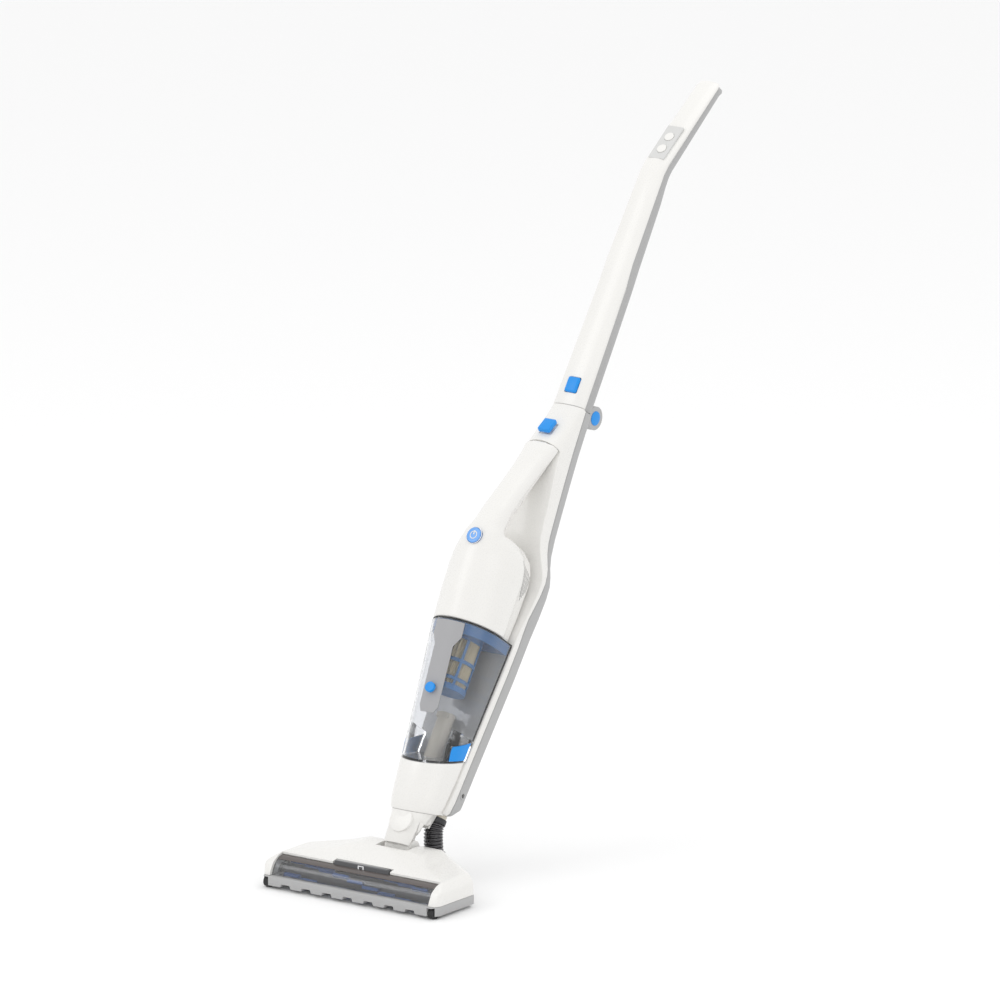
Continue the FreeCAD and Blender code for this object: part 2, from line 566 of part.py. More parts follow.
stick_bow = loft(dee("fold_at - 62", "fold_half + 4", "-20", "stick_split - 7", "frame_back"),
                 dee("fold_at - 4", "fold_half + 0.2", "stick_front", "stick_split - 6", "frame_back"))
front_slab = meet(frame_outline("0"), prism(profile_front, "yz", "-60", "60"))
slab_room = meet(frame_outline("shell_wall"), prism(profile_room, "yz", "-60", "60"))
button_hole = prism([("-15.3", "fold_at - 43.6"), ("-7.2", "fold_at - 26.4"),
                     ("3.6", "fold_at - 31.4"), ("-4.5", "fold_at - 48.6")], "yz", "-8.7", "8.7")
lower = cut(low_shell("0", "frame_low"), low_shell("shell_wall", "frame_low - 1"), above_shell)
lower_floor = meet(low_shell("0.5", "frame_low"),
                   block("-60", "60", "-60", "frame_split", "frame_low", "frame_low + 2.6"))
port = rod("hose_bore + 3.6", "30", "hose_x", "port_y", "frame_low - 10")
shell_lip = meet(low_shell("0.5", "frame_low"),
                 block("-60", "60", front_face, "frame_split", "frame_low + 50", "cup_low_at + 40"))
duct_shape = join(rod("hose_bore + 1.8", "24", "hose_x", "port_y", "frame_low + 3"),
                  block("-11", "hose_x + 11", "-14", "frame_split - 1", "frame_low + 17", "frame_low + 30"),
                  block("hose_x - 11", "hose_x + 11", "0", "port_y + 10", "frame_low + 17",
                        "frame_low + 30"),
                  rod("11", "34", "0", "-4", "frame_low + 28"))
stick("frame_front", cut(join(lower, lower_floor, cut(front_slab, slab_room)),
                         button_hole, port, duct_shape))

profile_back = [("frame_split + 0.4", "frame_low + 9"),
                ("frame_split + 0.4", "frame_wide_at - 35"), ("stick_split + 4.4", "frame_wide_at + 25"),
                ("stick_split + 1.4", "spine_at - 45"), ("stick_split + 0.4", "fold_at - seam_gap"),
                ("frame_back", "fold_at - seam_gap"), ("frame_back", "frame_low + 22"),
                ("frame_split + 6", "frame_low + 9")]
profile_back_room = [("frame_split - 1", "frame_low + 12"), ("frame_split - 1", "frame_wide_at - 35"),
                     ("stick_split + 3", "frame_wide_at + 25"), ("stick_split", "spine_at - 45"),
                     ("stick_split - 1", "fold_at - 18"), ("frame_back - 2.4", "fold_at - 18"),
                     ("frame_back - 2.4", "frame_low + 24"), ("frame_split + 4", "frame_low + 12")]
knuckles = []
for side in (-1, 1):
    middle = "%d * (knob_half + 8) / 2" % side
    knuckles.append(join(rod("knob_radius", "knob_half - 8", "%s - (knob_half - 8) / 2" % middle, "knob_y",
                             "fold_at", "x"),
                         block("%s - (knob_half - 8) / 2" % middle, "%s + (knob_half - 8) / 2" % middle,
                               "frame_back - 2", "knob_y - 2", "fold_at - 13.5", "fold_at - seam_gap - 1")))
rear_shell = cut(meet(frame_outline("0"), prism(profile_back, "yz", "-60", "60")),
                 meet(frame_outline("shell_wall"), prism(profile_back_room, "yz", "-60", "60")))
jack_hole = rod("jack_bore + 2", "40", "frame_low_half - 16", "jack_y", "jack_at", "x")
port_notch = rod("hose_bore + 3.6", "60", "hose_x", "port_y", "frame_low")
bump = block("-9", "9", "frame_back - 0.5", "frame_back + 3", "frame_wide_at - 44", "frame_wide_at - 34")
stick("frame_rear", cut(join(cut(rear_shell, jack_hole, port_notch), bump, *knuckles),
                        rod("fold_pin_radius", "60", "-30", "knob_y", "fold_at", "x"), duct_shape,
                        rod("knob_radius", "16.2", "-8.1", "knob_y", "fold_at", "x")))
stick("charging_jack", cut(rod("jack_bore + 1.9", "jack_deep + 4", "frame_low_half + 3.5 - jack_deep - 4",
                               "jack_y", "jack_at", "x"),
                           rod("jack_bore", "jack_deep + 1", "frame_low_half + 3.5 - jack_deep",
                               "jack_y", "jack_at", "x")))
duct_room = join(rod("hose_bore", "24", "hose_x", "port_y", "frame_low + 2"),
                 block("-9", "hose_x + 9", "-12", "frame_split - 3", "frame_low + 19", "frame_low + 28"),
                 block("hose_x - 9", "hose_x + 9", "0", "port_y + 8", "frame_low + 19", "frame_low + 28"),
                 rod("9", "40", "0", "-4", "frame_low + 27"))
stick("frame_duct", cut(duct_shape, duct_room, above_shell))
stick("hinge_pin", rod("fold_pin_radius - run_gap", "2 * knob_half - 2", "-knob_half + 1", "knob_y",
                       "fold_at", "x"))
for side, word in ((-1, "left"), (1, "right")):
    stick("hinge_cap_" + word, rod("8.5", "1.2", "%d * (knob_half + 0.6) - 0.6" % side, "knob_y",
                                   "fold_at", "x"))
release = prism([("-15.8", "fold_at - 42.5"), ("-8.2", "fold_at - 26.4"), ("-1.9", "fold_at - 29.4"),
                 ("-9.5", "fold_at - 45.5")], "yz", "-8.2", "8.2")
stick("release_button", release)

# ---------------------------------------------------------------- hose
# Corrugated hose: a soft tube with ribs between the head's elbow and the frame's port.
stick("hose_collar_upper", tube("hose_bore + 3.2", "hose_bore + 1.9", "collar_high", "hose_x", "port_y",
                                "frame_low - 2"))
head("hose_collar_lower", tube("hose_radius + 2", "hose_radius + 0.05", "collar_high", "hose_x",
                               "hose_y", "elbow_top - 4"))
low_end = FreeCAD.Vector(evaluate("hose_x"), evaluate("hose_y"), evaluate("elbow_top + 0.5"))
top_y = "port_y * cos(lean) + (frame_low - 2.6) * sin(lean)"
top_z = "pivot_height - port_y * sin(lean) + (frame_low - 2.6) * cos(lean)"


lean_now = math.radians(DIMS["lean"])
top_end = FreeCAD.Vector(
    DIMS["hose_x"],
    DIMS["port_y"] * math.cos(lean_now) + (DIMS["frame_low"] - 2.6) * math.sin(lean_now),
    DIMS["pivot_height"] - DIMS["port_y"] * math.sin(lean_now)
    + (DIMS["frame_low"] - 2.6) * math.cos(lean_now))
route = Part.BezierCurve()
reach = (top_end - low_end).Length / 3
route.setPoles([low_end, low_end + FreeCAD.Vector(0, 0, reach),
                top_end - FreeCAD.Vector(0, math.sin(lean_now), math.cos(lean_now)) * reach, top_end])
ribs = int(route.length() / DIMS["rib_pitch"])
pieces = []
profile = []
start_dir = FreeCAD.Vector(0, 0, 1)
wire = Part.Wire(route.toShape())
ring_out = Part.Wire(Part.makeCircle(DIMS["hose_radius"] - DIMS["hose_rib"], low_end, start_dir))
ring_in = Part.Wire(Part.makeCircle(DIMS["hose_bore"] - 0.6, low_end, start_dir))
skin = wire.makePipeShell([ring_out], True, True)
bore = wire.makePipeShell([ring_in], True, True)
hose = skin
for k in range(1, ribs):
    t = k / ribs
    centre = route.value(route.FirstParameter + t * (route.LastParameter - route.FirstParameter))
    along = route.tangent(route.FirstParameter + t * (route.LastParameter - route.FirstParameter))[0]
    hose = hose.fuse(Part.makeCylinder(DIMS["hose_radius"], 1.9, centre - along * 0.95, along))
hose = hose.cut(bore)
hose_obj = doc.addObject("Part::Feature", "hose_shape")
hose_obj.Shape = hose
head("head_hose", hose_obj)

# ---------------------------------------------------------------- folding handle
def slab(z0, half0, y00, y01, z1, half1, y10, y11):
    """Four-sided bar between two heights, each end with its own width and depth."""
    ends = []
    for z, half, a, b in ((z0, half0, y00, y01), (z1, half1, y10, y11)):
        ends.append(outline([("-(%s)" % half, a), (half, a), (half, b), ("-(%s)" % half, b)], "xy", z))
    return loft(*ends)


foot = "fold_at"
rear_now = "frame_back"
front_tube = loft(dee(foot, "fold_half", "stick_front", "stick_split - 6", "stick_split"),
                  dee("bend_at", "bend_half", "stick_front + 1.5", "stick_split - 5", "stick_split"))
front_room = loft(dee("fold_at + 6", "fold_half - shell_wall", "stick_front + shell_wall",
                      "stick_split - 5", "stick_split + 1"),
                  dee("bend_at - 4", "bend_half - shell_wall", "stick_front + 1.5 + shell_wall",
                      "stick_split - 4", "stick_split + 1"))


def in_grip(shape):
    """Move something drawn along an upright grip into the bent grip's place."""
    obj = new("Part::Compound", "grip")
    obj.Links = [shape]
    obj.Placement = FreeCAD.Placement(FreeCAD.Vector(), FreeCAD.Rotation(FreeCAD.Vector(-1, 0, 0), 10))
    obj.setExpression("Placement.Rotation.Angle", ref("grip_angle"))
    return place(obj, "0", "stick_split", "bend_at")


grip_front = cut(loft(dee("-3", "bend_half", "-12.4", "-5", "0"),
                      dee("grip_long", "grip_half", "-9", "-4", "0")),
                 loft(dee("4", "bend_half - shell_wall", "-12.4 + shell_wall", "-4", "1"),
                      dee("grip_long - 5", "grip_half - shell_wall", "-9 + shell_wall", "-3", "1")))
panel_cut = block("-11.3", "11.3", "-20", "-7.5", "9", "60")
fold_hole = block("-8.7", "8.7", "0", "18", "fold_at + 15", "fold_at + 34.5")
handle_shell = join(cut(front_tube, front_room, fold_hole), in_grip(cut(grip_front, panel_cut)))
stick("handle_front", handle_shell)
rear_tube = slab("fold_at", "fold_half - 0.3", "stick_split + 0.4", rear_now,
                 "bend_at - 30", "bend_half", "stick_split + 0.4", rear_now)
rear_room = slab("fold_at + 16", "fold_half - shell_wall", "stick_split", "frame_back - 2.4",
                 "bend_at - 34", "bend_half - shell_wall", "stick_split", "frame_back - 2.4")
rear_top = slab("bend_at - 30.5", "bend_half", "stick_split + 0.4", rear_now,
                "bend_at + 4", "bend_half", "stick_split + 0.4", "frame_back - 3.5")
grip_rear = in_grip(cut(slab("-2", "bend_half", "0.4", "9.4", "grip_long", "grip_half", "0.4", "7.5"),
                        slab("4", "bend_half - shell_wall", "-1", "6.8", "grip_long - 4",
                             "grip_half - shell_wall", "-1", "5.2")))
hook = in_grip(block("-grip_half", "grip_half", "0.4", "12", "grip_long - 5", "grip_long"))
mid_knuckle = join(rod("knob_radius - 0.5", "2 * 7.6", "-7.6", "knob_y", "fold_at", "x"),
                   block("-7.6", "7.6", "frame_back - 2", "knob_y", "fold_at + 1", "fold_at + 12"))
knob_room = [rod("knob_radius + 0.5", "knob_half - 6.5", "%s" % x, "knob_y", "fold_at", "x")
             for x in ("7.9", "-knob_half - 1.4")]
below_mid = block("-9", "9", "frame_back - 14.5", "frame_back + 0.1", "fold_at - 14", "fold_at - seam_gap / 2")
stick("handle_rear", cut(join(cut(join(rear_tube, rear_top), rear_room), grip_rear, hook,
                              cut(mid_knuckle, below_mid)),
                         rod("fold_pin_radius", "60", "-30", "knob_y", "fold_at", "x"), handle_shell,
                         *knob_room))
stick("fold_button", block("-8.3", "8.3", "stick_front - 1.4", "stick_front + 5.5", "fold_at + 15.4",
                           "fold_at + 34.1"))
stick("fold_spring", tube("3.6", "2.6", "5", "0", "stick_front + 6", "fold_at + 24.8", "y"))
keys = [("speed_key", 24.0), ("power_key", 43.0)]
plate = block("-11", "11", "-12.6", "-10.2", "9.3", "59.7")
for key, at in keys:
    plate = cut(plate, rod("6.2", "10", "0", "-18", str(at), "y"))
stick("control_panel", in_grip(plate))
stick("handle_board", in_grip(block("-10", "10", "-6.4", "-5", "12", "57")))
for key, at in keys:
    stick(key, in_grip(rod("5.9", "5.2", "0", "-13.4", str(at), "y")))

# ---------------------------------------------------------------- hand-held cleaner
def cup_form(grow, low, top):
    """The dust cup's outline between two heights, grown or shrunk all round."""
    def ring(z):
        t = "((%s) - cup_low_at) / (cup_top_at - cup_low_at)" % z
        radius = "(cup_low_radius + (cup_top_radius - cup_low_radius) * (%s) + %s)" % (t, grow)
        middle = "(cup_low_y + (cup_top_y - cup_low_y) * (%s))" % t
        return dee(z, radius, "%s - %s" % (middle, radius), middle, "cup_back + %s" % grow)
    return loft(ring(low), ring(top))


below_cup = prism([("-90", "cup_low_at - (90 - cup_low_radius + cup_low_y) * tan(edge_slope)"),
                   ("60", "cup_low_at + (60 + cup_low_radius - cup_low_y) * tan(edge_slope)"),
                   ("60", "-20"), ("-90", "-20")], "yz", "-70", "70")
below_floor = prism([("-90", "cup_low_at + 2.4 - (90 - cup_low_radius + cup_low_y) * tan(edge_slope)"),
                     ("60", "cup_low_at + 2.4 + (60 + cup_low_radius - cup_low_y) * tan(edge_slope)"),
                     ("60", "-20"), ("-90", "-20")], "yz", "-70", "70")
key_shape = [("-20", "cup_low_at + 10"), ("5", "cup_low_at + 22"), ("5", "cup_low_at + 44"),
             ("-19", "cup_low_at + 29")]
key_grown = [("-20.5", "cup_low_at + 9.4"), ("5.5", "cup_low_at + 21.8"), ("5.5", "cup_low_at + 44.8"),
             ("-19.5", "cup_low_at + 29.3")]
cup_outer = cut(cup_form("0", "cup_low_at - 20", "cup_top_at - 1"), below_cup)
cup_room = cut(cup_form("-cup_wall", "cup_low_at - 20", "cup_top_at + 5"), below_floor)
bosses = meet(cup_form("-0.5", "cup_low_at - 20", "cup_top_at - 1"),
              join(*[block("%d * 35 - 7" % side, "%d * 35 + 7" % side, "-24", "cup_back", "cup_low_at + 4",
                           "cup_low_at + 48") for side in (-1, 1)]))
pockets = [prism(key_grown, "yz", x0, x1) for x0, x1 in (("32", "60"), ("-60", "-32"))]
inlet_hole = rod("10.3", "60", "0", "-4", "cup_low_at - 10")
stick("dust_cup", cut(join(cut(cup_outer, cup_room), cut(bosses, below_cup)), inlet_hole, *pockets))
key_blank = cut(cup_form("0.6", "cup_low_at - 20", "cup_top_at"), below_cup)
for side, word, x0, x1 in ((-1, "left", "-60", "-33.6"), (1, "right", "33.6", "60")):
    stick("cup_key_" + word, meet(key_blank, prism([("-20", "cup_low_at + 10"), ("5", "cup_low_at + 22"),
                                                    ("5", "cup_low_at + 44"), ("-19", "cup_low_at + 29")],
                                                   "yz", x0, x1)))
label_view = front_view([("-9", "cup_low_at + 58"), ("9", "cup_low_at + 58"), ("13", "cup_low_at + 66"),
                         ("13", "cup_top_at - 32"), ("20", "cup_top_at - 20"), ("20", "cup_top_at - 3"),
                         ("-20", "cup_top_at - 3"), ("-20", "cup_top_at - 20"), ("-13", "cup_top_at - 32"),
                         ("-13", "cup_low_at + 66")], "-90", "-25")
stick("cup_label", meet(cut(cup_form("0.9", "cup_low_at", "cup_top_at - 2"),
                            cup_form("0.05", "cup_low_at", "cup_top_at - 2")), label_view))
stick("cup_gasket", cut(cup_form("-0.3", "cup_top_at - 1", "cup_top_at + 0.3"),
                        cup_form("-2.6", "cup_top_at - 2", "cup_top_at + 1")))
cage_y = "cup_top_y - 4"
cage_low = "cup_top_at - filter_long"
flange = cut(cup_form("-cup_wall - 0.4", "cup_top_at - 14", "cup_top_at - 1.5"),
             cup_form("-cup_wall - 2.6", "cup_top_at - 15", "cup_top_at"))
flange_top = cut(cup_form("-cup_wall - 0.4", "cup_top_at - 5", "cup_top_at - 1.5"),
                 rod("filter_radius - 8", "30", "0", cage_y, "cup_top_at - 20"))
rings = [tube("filter_radius - 4", "filter_radius - 5.6", "4", "0", cage_y, "cup_top_at - %s" % z)
         for z in ("44", "66")]
collar = tube("filter_radius - 4", "filter_radius - 5.6", "12", "0", cage_y, "cup_top_at - 16")
base_cap = rod("filter_radius - 4", "7", "0", cage_y, "cup_top_at - 78")
struts = [turn(block("filter_radius - 5.8", "filter_radius - 4.1", "-1.6", "1.6", "cup_top_at - 74",
                     "cup_top_at - 6"), "z", a, "0", cage_y, "0") for a in range(20, 380, 60)]
stick("filter_cage", join(flange, flange_top, collar, base_cap, *(rings + struts)))
fold_count = 28
star = []
for k in range(2 * fold_count):
    radius = "(filter_radius - 6.2)" if k % 2 == 0 else "(filter_radius - 9)"
    angle = 180.0 * k / fold_count
    star.append(("%s * cos(%.3f)" % (radius, angle), "%s * sin(%.3f)" % (radius, angle)))
pleats = prism(star, "xy", "cup_top_at - 70.6", "cup_top_at - 5.4")
stick("filter_pleats", place(turn(cut(pleats, rod("filter_radius - 11", "80", "0", "0", "cup_top_at - 72")),
                                  "z", 0), "0", cage_y, "0"))
stick("cup_inlet", cut(join(tube("10", "8.2", "66", "0", "-4", "cup_low_at + 5"),
                            block("-8", "8", "-13.5", "-6", "cup_low_at + 64", "cup_low_at + 70")),
                       below_floor))


def housing_form(grow, low="cup_top_at + 0.8", top="housing_top"):
    return loft(dee(low, "housing_half + %s" % grow, "cup_top_y - cup_top_radius - 0.5 - %s" % grow,
                    "cup_top_y", "housing_back + %s" % grow),
                dee("housing_top - 48", "housing_half + %s" % grow, "-housing_front + 2.5 - %s" % grow,
                    "cup_top_y - 6", "housing_back + %s" % grow),
                dee("housing_top - 24", "housing_half - 3 + %s" % grow, "-housing_front + 0.5 - %s" % grow,
                    "cup_top_y - 12", "housing_back + %s" % grow),
                dee(top, "housing_half - 13 + %s" % grow, "-housing_front - %s" % grow,
                    "cup_top_y - 22", "housing_back - 2 + %s" % grow))


hand_side = [("-housing_front", "housing_top - 24"), ("-housing_front - 0.5", "button_at"),
             ("-60", "button_at + 43"), ("-31", "fold_at - 92.5"), ("-15.5", "fold_at - 57.6"),
             ("-15.1", "fold_at - 56.2"), ("-2", "fold_at - 62.4"), ("-2", "fold_at - 83"),
             ("-7.3", "fold_at - 103"), ("-36.2", "button_at + 33"), ("-43", "housing_top - 2"),
             ("-43", "housing_top - 24")]
hand_front = [("housing_half - 14", "housing_top - 24"), ("hand_half + 8", "housing_top + 8"),
              ("hand_half + 1", "housing_top + 40"), ("hand_half", "fold_at - 100"),
              ("hand_half + 4", "fold_at - 60")]
hand_grip = meet(prism(hand_side, "yz", "-60", "60"), front_view(both_sides(hand_front), "-90", "20"))
housing_solid = join(housing_form("0"), hand_grip)
housing_room = housing_form("-shell_wall", "cup_top_at + 3.6", "housing_top - 2.6")
suction_hole = rod("filter_radius - 8", "20", "0", cage_y, "cup_top_at - 4")
button_well = rod("9.9", "12", "0", "-housing_front - 4", "button_at", "y")
panel_zone = block("-18", "18", "-90", "-50", "cup_top_at + 6", "housing_top - 28")
panel_gap = block("-18.3", "18.3", "-90", "-50", "cup_top_at + 5.7", "housing_top - 27.7")
vent_zone = [("-11", "housing_top - 66"), ("2", "housing_top - 66"), ("5", "housing_top - 14"),
             ("-24", "housing_top - 14")]
vent_gap = [("-11.3", "housing_top - 66.3"), ("2.3", "housing_top - 66.3"), ("5.3", "housing_top - 13.7"),
            ("-24.3", "housing_top - 13.7")]
vent_windows = [prism(vent_gap, "yz", "-70", "-20"), prism(vent_gap, "yz", "20", "70")]
stick("housing", cut(housing_solid, housing_room, suction_hole, button_well, panel_gap, *vent_windows))
skin = cut(housing_form("0"), housing_form("-shell_wall", "cup_top_at + 0.8", "housing_top - 0.1"))
stick("front_panel", meet(skin, panel_zone))
for side, word, x0, x1 in ((-1, "left", "-70", "-20"), (1, "right", "20", "70")):
    slots = [prism([("%s" % (-20 + 5 * k + 2), "housing_top - 62 + %d" % max(0, 26 - 9 * k)),
                    ("%s" % (-18.6 + 5 * k + 2), "housing_top - 62 + %d" % max(0, 26 - 9 * k)),
                    ("%s" % (-18.6 + 5 * k), "housing_top - 18"), ("%s" % (-20 + 5 * k), "housing_top - 18")],
                   "yz", x0, x1) for k in range(5)]
    stick("vent_grille_" + word, cut(meet(skin, prism(vent_zone, "yz", x0, x1)), *slots))
motor_y = "-36"
stick("fan_motor", cut(rod("20", "50", "0", motor_y, "cup_top_at + 36"),
                       rod("1.5 + run_gap", "60", "0", motor_y, "cup_top_at + 30")))
blades = [turn(block("2", "17.5", "-0.8", "0.8", "cup_top_at + 20", "cup_top_at + 32"), "z", a, "0",
               motor_y, "0") for a in range(0, 360, 40)]
stick("fan_rotor", join(rod("18", "2", "0", motor_y, "cup_top_at + 31"),
                        rod("4", "13", "0", motor_y, "cup_top_at + 19"),
                        rod("1.5", "60", "0", motor_y, "cup_top_at + 20"), *blades))
cells = [rod("9.1", "65", str(x), str(y), "cup_top_at + 12") for x, y in
         ((-27.5, -2.5), (-9.2, -2.5), (9.2, -2.5), (27.5, -2.5), (31.5, -22.5))]
stick("battery_cells", join(*cells))
stick("main_board", block("-38.5", "-37", "-33", "-13", "cup_top_at + 12", "cup_top_at + 62"))
stick("hand_button", rod("9.5", "8", "0", "-housing_front - 2.2", "button_at", "y"))

# ---------------------------------------------------------------- check and write
doc.recompute()
os.makedirs("parts", exist_ok=True)
for obj in doc.Objects:
    if "Invalid" in obj.State or "Error" in obj.State:
        raise ValueError("%s (%s) did not build: %s" % (obj.Name, obj.TypeId, obj.State))
for holder in nodes:
    shape = holder.Shape
    if shape.isNull() or not shape.isValid() or not shape.Solids:
        raise ValueError("%s is not a valid solid" % holder.Label)
    shape.exportStep("parts/%s.step" % holder.Label)
    print(holder.Label, "solids", len(shape.Solids), "volume", round(shape.Volume / 1000, 2))
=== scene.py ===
import math
import bmesh
import bpy
from mathutils import Matrix, Vector


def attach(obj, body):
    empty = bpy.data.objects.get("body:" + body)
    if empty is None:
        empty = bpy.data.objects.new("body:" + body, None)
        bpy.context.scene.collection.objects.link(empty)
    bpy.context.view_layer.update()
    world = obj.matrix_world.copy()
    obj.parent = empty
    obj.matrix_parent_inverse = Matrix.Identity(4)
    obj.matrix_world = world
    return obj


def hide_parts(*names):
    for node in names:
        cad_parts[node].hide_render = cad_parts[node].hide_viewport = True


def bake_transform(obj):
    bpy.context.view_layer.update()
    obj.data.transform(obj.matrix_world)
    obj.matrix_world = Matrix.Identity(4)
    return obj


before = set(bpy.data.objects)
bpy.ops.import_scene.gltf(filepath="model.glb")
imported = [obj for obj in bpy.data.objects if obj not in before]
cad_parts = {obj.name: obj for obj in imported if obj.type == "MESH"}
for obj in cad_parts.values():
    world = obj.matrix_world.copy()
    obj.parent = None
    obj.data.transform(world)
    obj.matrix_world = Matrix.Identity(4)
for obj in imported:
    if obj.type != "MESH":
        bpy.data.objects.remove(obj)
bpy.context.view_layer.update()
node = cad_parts

# ---------------------------------------------------------------- helpers
# Lengths are metres. The stick's parts are modelled upright over the neck pivot (X across, Y to
# the back, Z along the stick), then leaned back together; head parts stand on the floor.
MM = 0.001
LEAN = math.radians(33.5)
PIVOT = Vector((0, -0.254, 0.044))

# Places that pieces are fitted to, in millimetres on the upright stick or the standing head.
HINGE_Y, HINGE_Z = 47, 567
FRAME_TOP = 566.6
CUP_TOP = 267.0
POWER_KEY_Z = 366
ROLL_Y, ROLL_Z = -76, 12


def bsdf(mat):
    return mat.node_tree.nodes["Principled BSDF"]


def plastic(name, color, rough=0.35, grain=900.0, bump=0.05, vary=0.03, coat=0.0, clear=0.0):
    """Moulded plastic: faint colour drift, fine grain in the gloss and a very shallow texture."""
    mat = bpy.data.materials.new(name)
    mat.use_nodes = True
    nodes, links = mat.node_tree.nodes, mat.node_tree.links
    shader = bsdf(mat)
    coords = nodes.new("ShaderNodeTexCoord")
    drift = nodes.new("ShaderNodeTexNoise")
    drift.inputs["Scale"].default_value = 14.0
    drift.inputs["Detail"].default_value = 3.0
    ramp = nodes.new("ShaderNodeValToRGB")
    dark = [max(0.0, c * (1 - vary)) for c in color]
    light = [min(1.0, c * (1 + vary)) for c in color]
    ramp.color_ramp.elements[0].color = (*dark, 1)
    ramp.color_ramp.elements[1].color = (*light, 1)
    fine = nodes.new("ShaderNodeTexNoise")
    fine.inputs["Scale"].default_value = grain
    fine.inputs["Detail"].default_value = 2.0
    span = nodes.new("ShaderNodeMapRange")
    span.inputs["To Min"].default_value = rough * 0.85
    span.inputs["To Max"].default_value = rough * 1.15
    lift = nodes.new("ShaderNodeBump")
    lift.inputs["Strength"].default_value = bump
    lift.inputs["Distance"].default_value = 0.0002
    links.new(coords.outputs["Object"], drift.inputs["Vector"])
    links.new(coords.outputs["Object"], fine.inputs["Vector"])
    links.new(drift.outputs["Fac"], ramp.inputs["Fac"])
    links.new(ramp.outputs["Color"], shader.inputs["Base Color"])
    links.new(fine.outputs["Fac"], span.inputs["Value"])
    links.new(span.outputs["Result"], shader.inputs["Roughness"])
    links.new(fine.outputs["Fac"], lift.inputs["Height"])
    links.new(lift.outputs["Normal"], shader.inputs["Normal"])
    shader.inputs["Coat Weight"].default_value = coat
    shader.inputs["Transmission Weight"].default_value = clear
    return mat


def metal(name, color, rough=0.3, stretch=(1.0, 1.0, 60.0)):
    """Turned or brushed metal: streaks along one direction in the colour and the gloss."""
    mat = plastic(name, color, rough, 400.0, 0.08, 0.08)
    nodes, links = mat.node_tree.nodes, mat.node_tree.links
    bsdf(mat).inputs["Metallic"].default_value = 1.0
    mapping = nodes.new("ShaderNodeMapping")
    mapping.inputs["Scale"].default_value = stretch
    coords = nodes["Texture Coordinate"]
    links.new(coords.outputs["Object"], mapping.inputs["Vector"])
    for texture in [n for n in nodes if n.bl_idname == "ShaderNodeTexNoise"]:
        links.new(mapping.outputs["Vector"], texture.inputs["Vector"])
    return mat


def finish_node(obj, mat):
    """Give a frame part its material and smooth shading."""
    obj.data.materials.clear()
    obj.data.materials.append(mat)
    for poly in obj.data.polygons:
        poly.use_smooth = True


WHITE = plastic("warm white gloss", (0.80, 0.79, 0.765), 0.28, coat=0.25)
GREY = plastic("mid grey satin", (0.42, 0.42, 0.42), 0.42)
PALE = plastic("pale grey satin", (0.62, 0.62, 0.61), 0.38)
DARK = plastic("black satin", (0.02, 0.021, 0.024), 0.38)
BLUE = plastic("bright blue gloss", (0.0, 0.26, 0.75), 0.34)
CREAM = plastic("cream satin", (0.58, 0.54, 0.46), 0.4)
RUBBER = plastic("black rubber", (0.016, 0.016, 0.017), 0.62, bump=0.2)
STEEL = metal("turned steel", (0.55, 0.55, 0.56))
CHROME = metal("polished trim", (0.75, 0.75, 0.77), 0.12)
SMOKE = plastic("smoked clear", (0.92, 0.93, 0.95), 0.03, bump=0.0, clear=0.98)
LABEL = plastic("printed label", (0.36, 0.36, 0.37), 0.3)
CAGE = plastic("deep blue cage", (0.0, 0.16, 0.45), 0.3)
BOARD = plastic("circuit board", (0.02, 0.10, 0.04), 0.45)
BRISTLE = plastic("blue nylon bristle", (0.02, 0.10, 0.34), 0.6, bump=0.4)
PAPER = plastic("filter paper", (0.62, 0.54, 0.36), 0.85, bump=0.5)

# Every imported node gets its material, seen or hidden.
looks = {
    "head_cover": WHITE, "head_base": GREY, "brush_window": SMOKE, "led_bar": DARK,
    "led_board": BOARD, "brush_core": DARK, "brush_bristles": BRISTLE, "brush_bush_left": DARK,
    "brush_bush_right": DARK, "roll_pulley": DARK, "brush_motor": STEEL, "motor_pulley": STEEL,
    "motor_rotor": STEEL, "drive_belt": RUBBER, "front_wheel_left": RUBBER,
    "front_wheel_right": RUBBER, "rear_wheel_left": RUBBER, "rear_wheel_right": RUBBER,
    "head_duct": WHITE, "tilt_pin": STEEL, "head_screws": STEEL, "neck_yoke": WHITE,
    "swing_pin": STEEL, "neck_shell": WHITE, "frame_front": WHITE, "frame_rear": PALE,
    "charging_jack": GREY, "frame_duct": CREAM, "hinge_pin": STEEL, "hinge_cap_left": BLUE,
    "hinge_cap_right": BLUE, "release_button": BLUE, "hose_collar_upper": DARK,
    "hose_collar_lower": DARK, "head_hose": RUBBER, "handle_front": WHITE, "handle_rear": PALE,
    "fold_button": BLUE, "fold_spring": STEEL, "control_panel": PALE, "handle_board": BOARD,
    "speed_key": WHITE, "power_key": WHITE, "dust_cup": SMOKE, "cup_key_left": BLUE,
    "cup_key_right": BLUE, "cup_label": LABEL, "cup_gasket": RUBBER, "filter_cage": CAGE,
    "filter_pleats": PAPER, "cup_inlet": CREAM, "housing": WHITE, "front_panel": WHITE,
    "vent_grille_left": WHITE, "vent_grille_right": WHITE, "fan_motor": STEEL, "fan_rotor": STEEL,
    "battery_cells": BOARD, "main_board": BOARD, "hand_button": BLUE,
}
for name, mat in looks.items():
    finish_node(node[name], mat)

# ---------------------------------------------------------------- modelling helpers
def only(obj):
    """Select one object and nothing else."""
    bpy.ops.object.select_all(action="DESELECT")
    obj.select_set(True)
    bpy.context.view_layer.objects.active = obj


def pick(obj, test):
    """In edit mode, select the corners that pass the test, with the faces they make up."""
    mesh = bmesh.from_edit_mesh(obj.data)
    bpy.ops.mesh.select_all(action="DESELECT")
    for corner in mesh.verts:
        corner.select = test(corner.co)
    mesh.select_flush(True)
    bmesh.update_edit_mesh(obj.data)


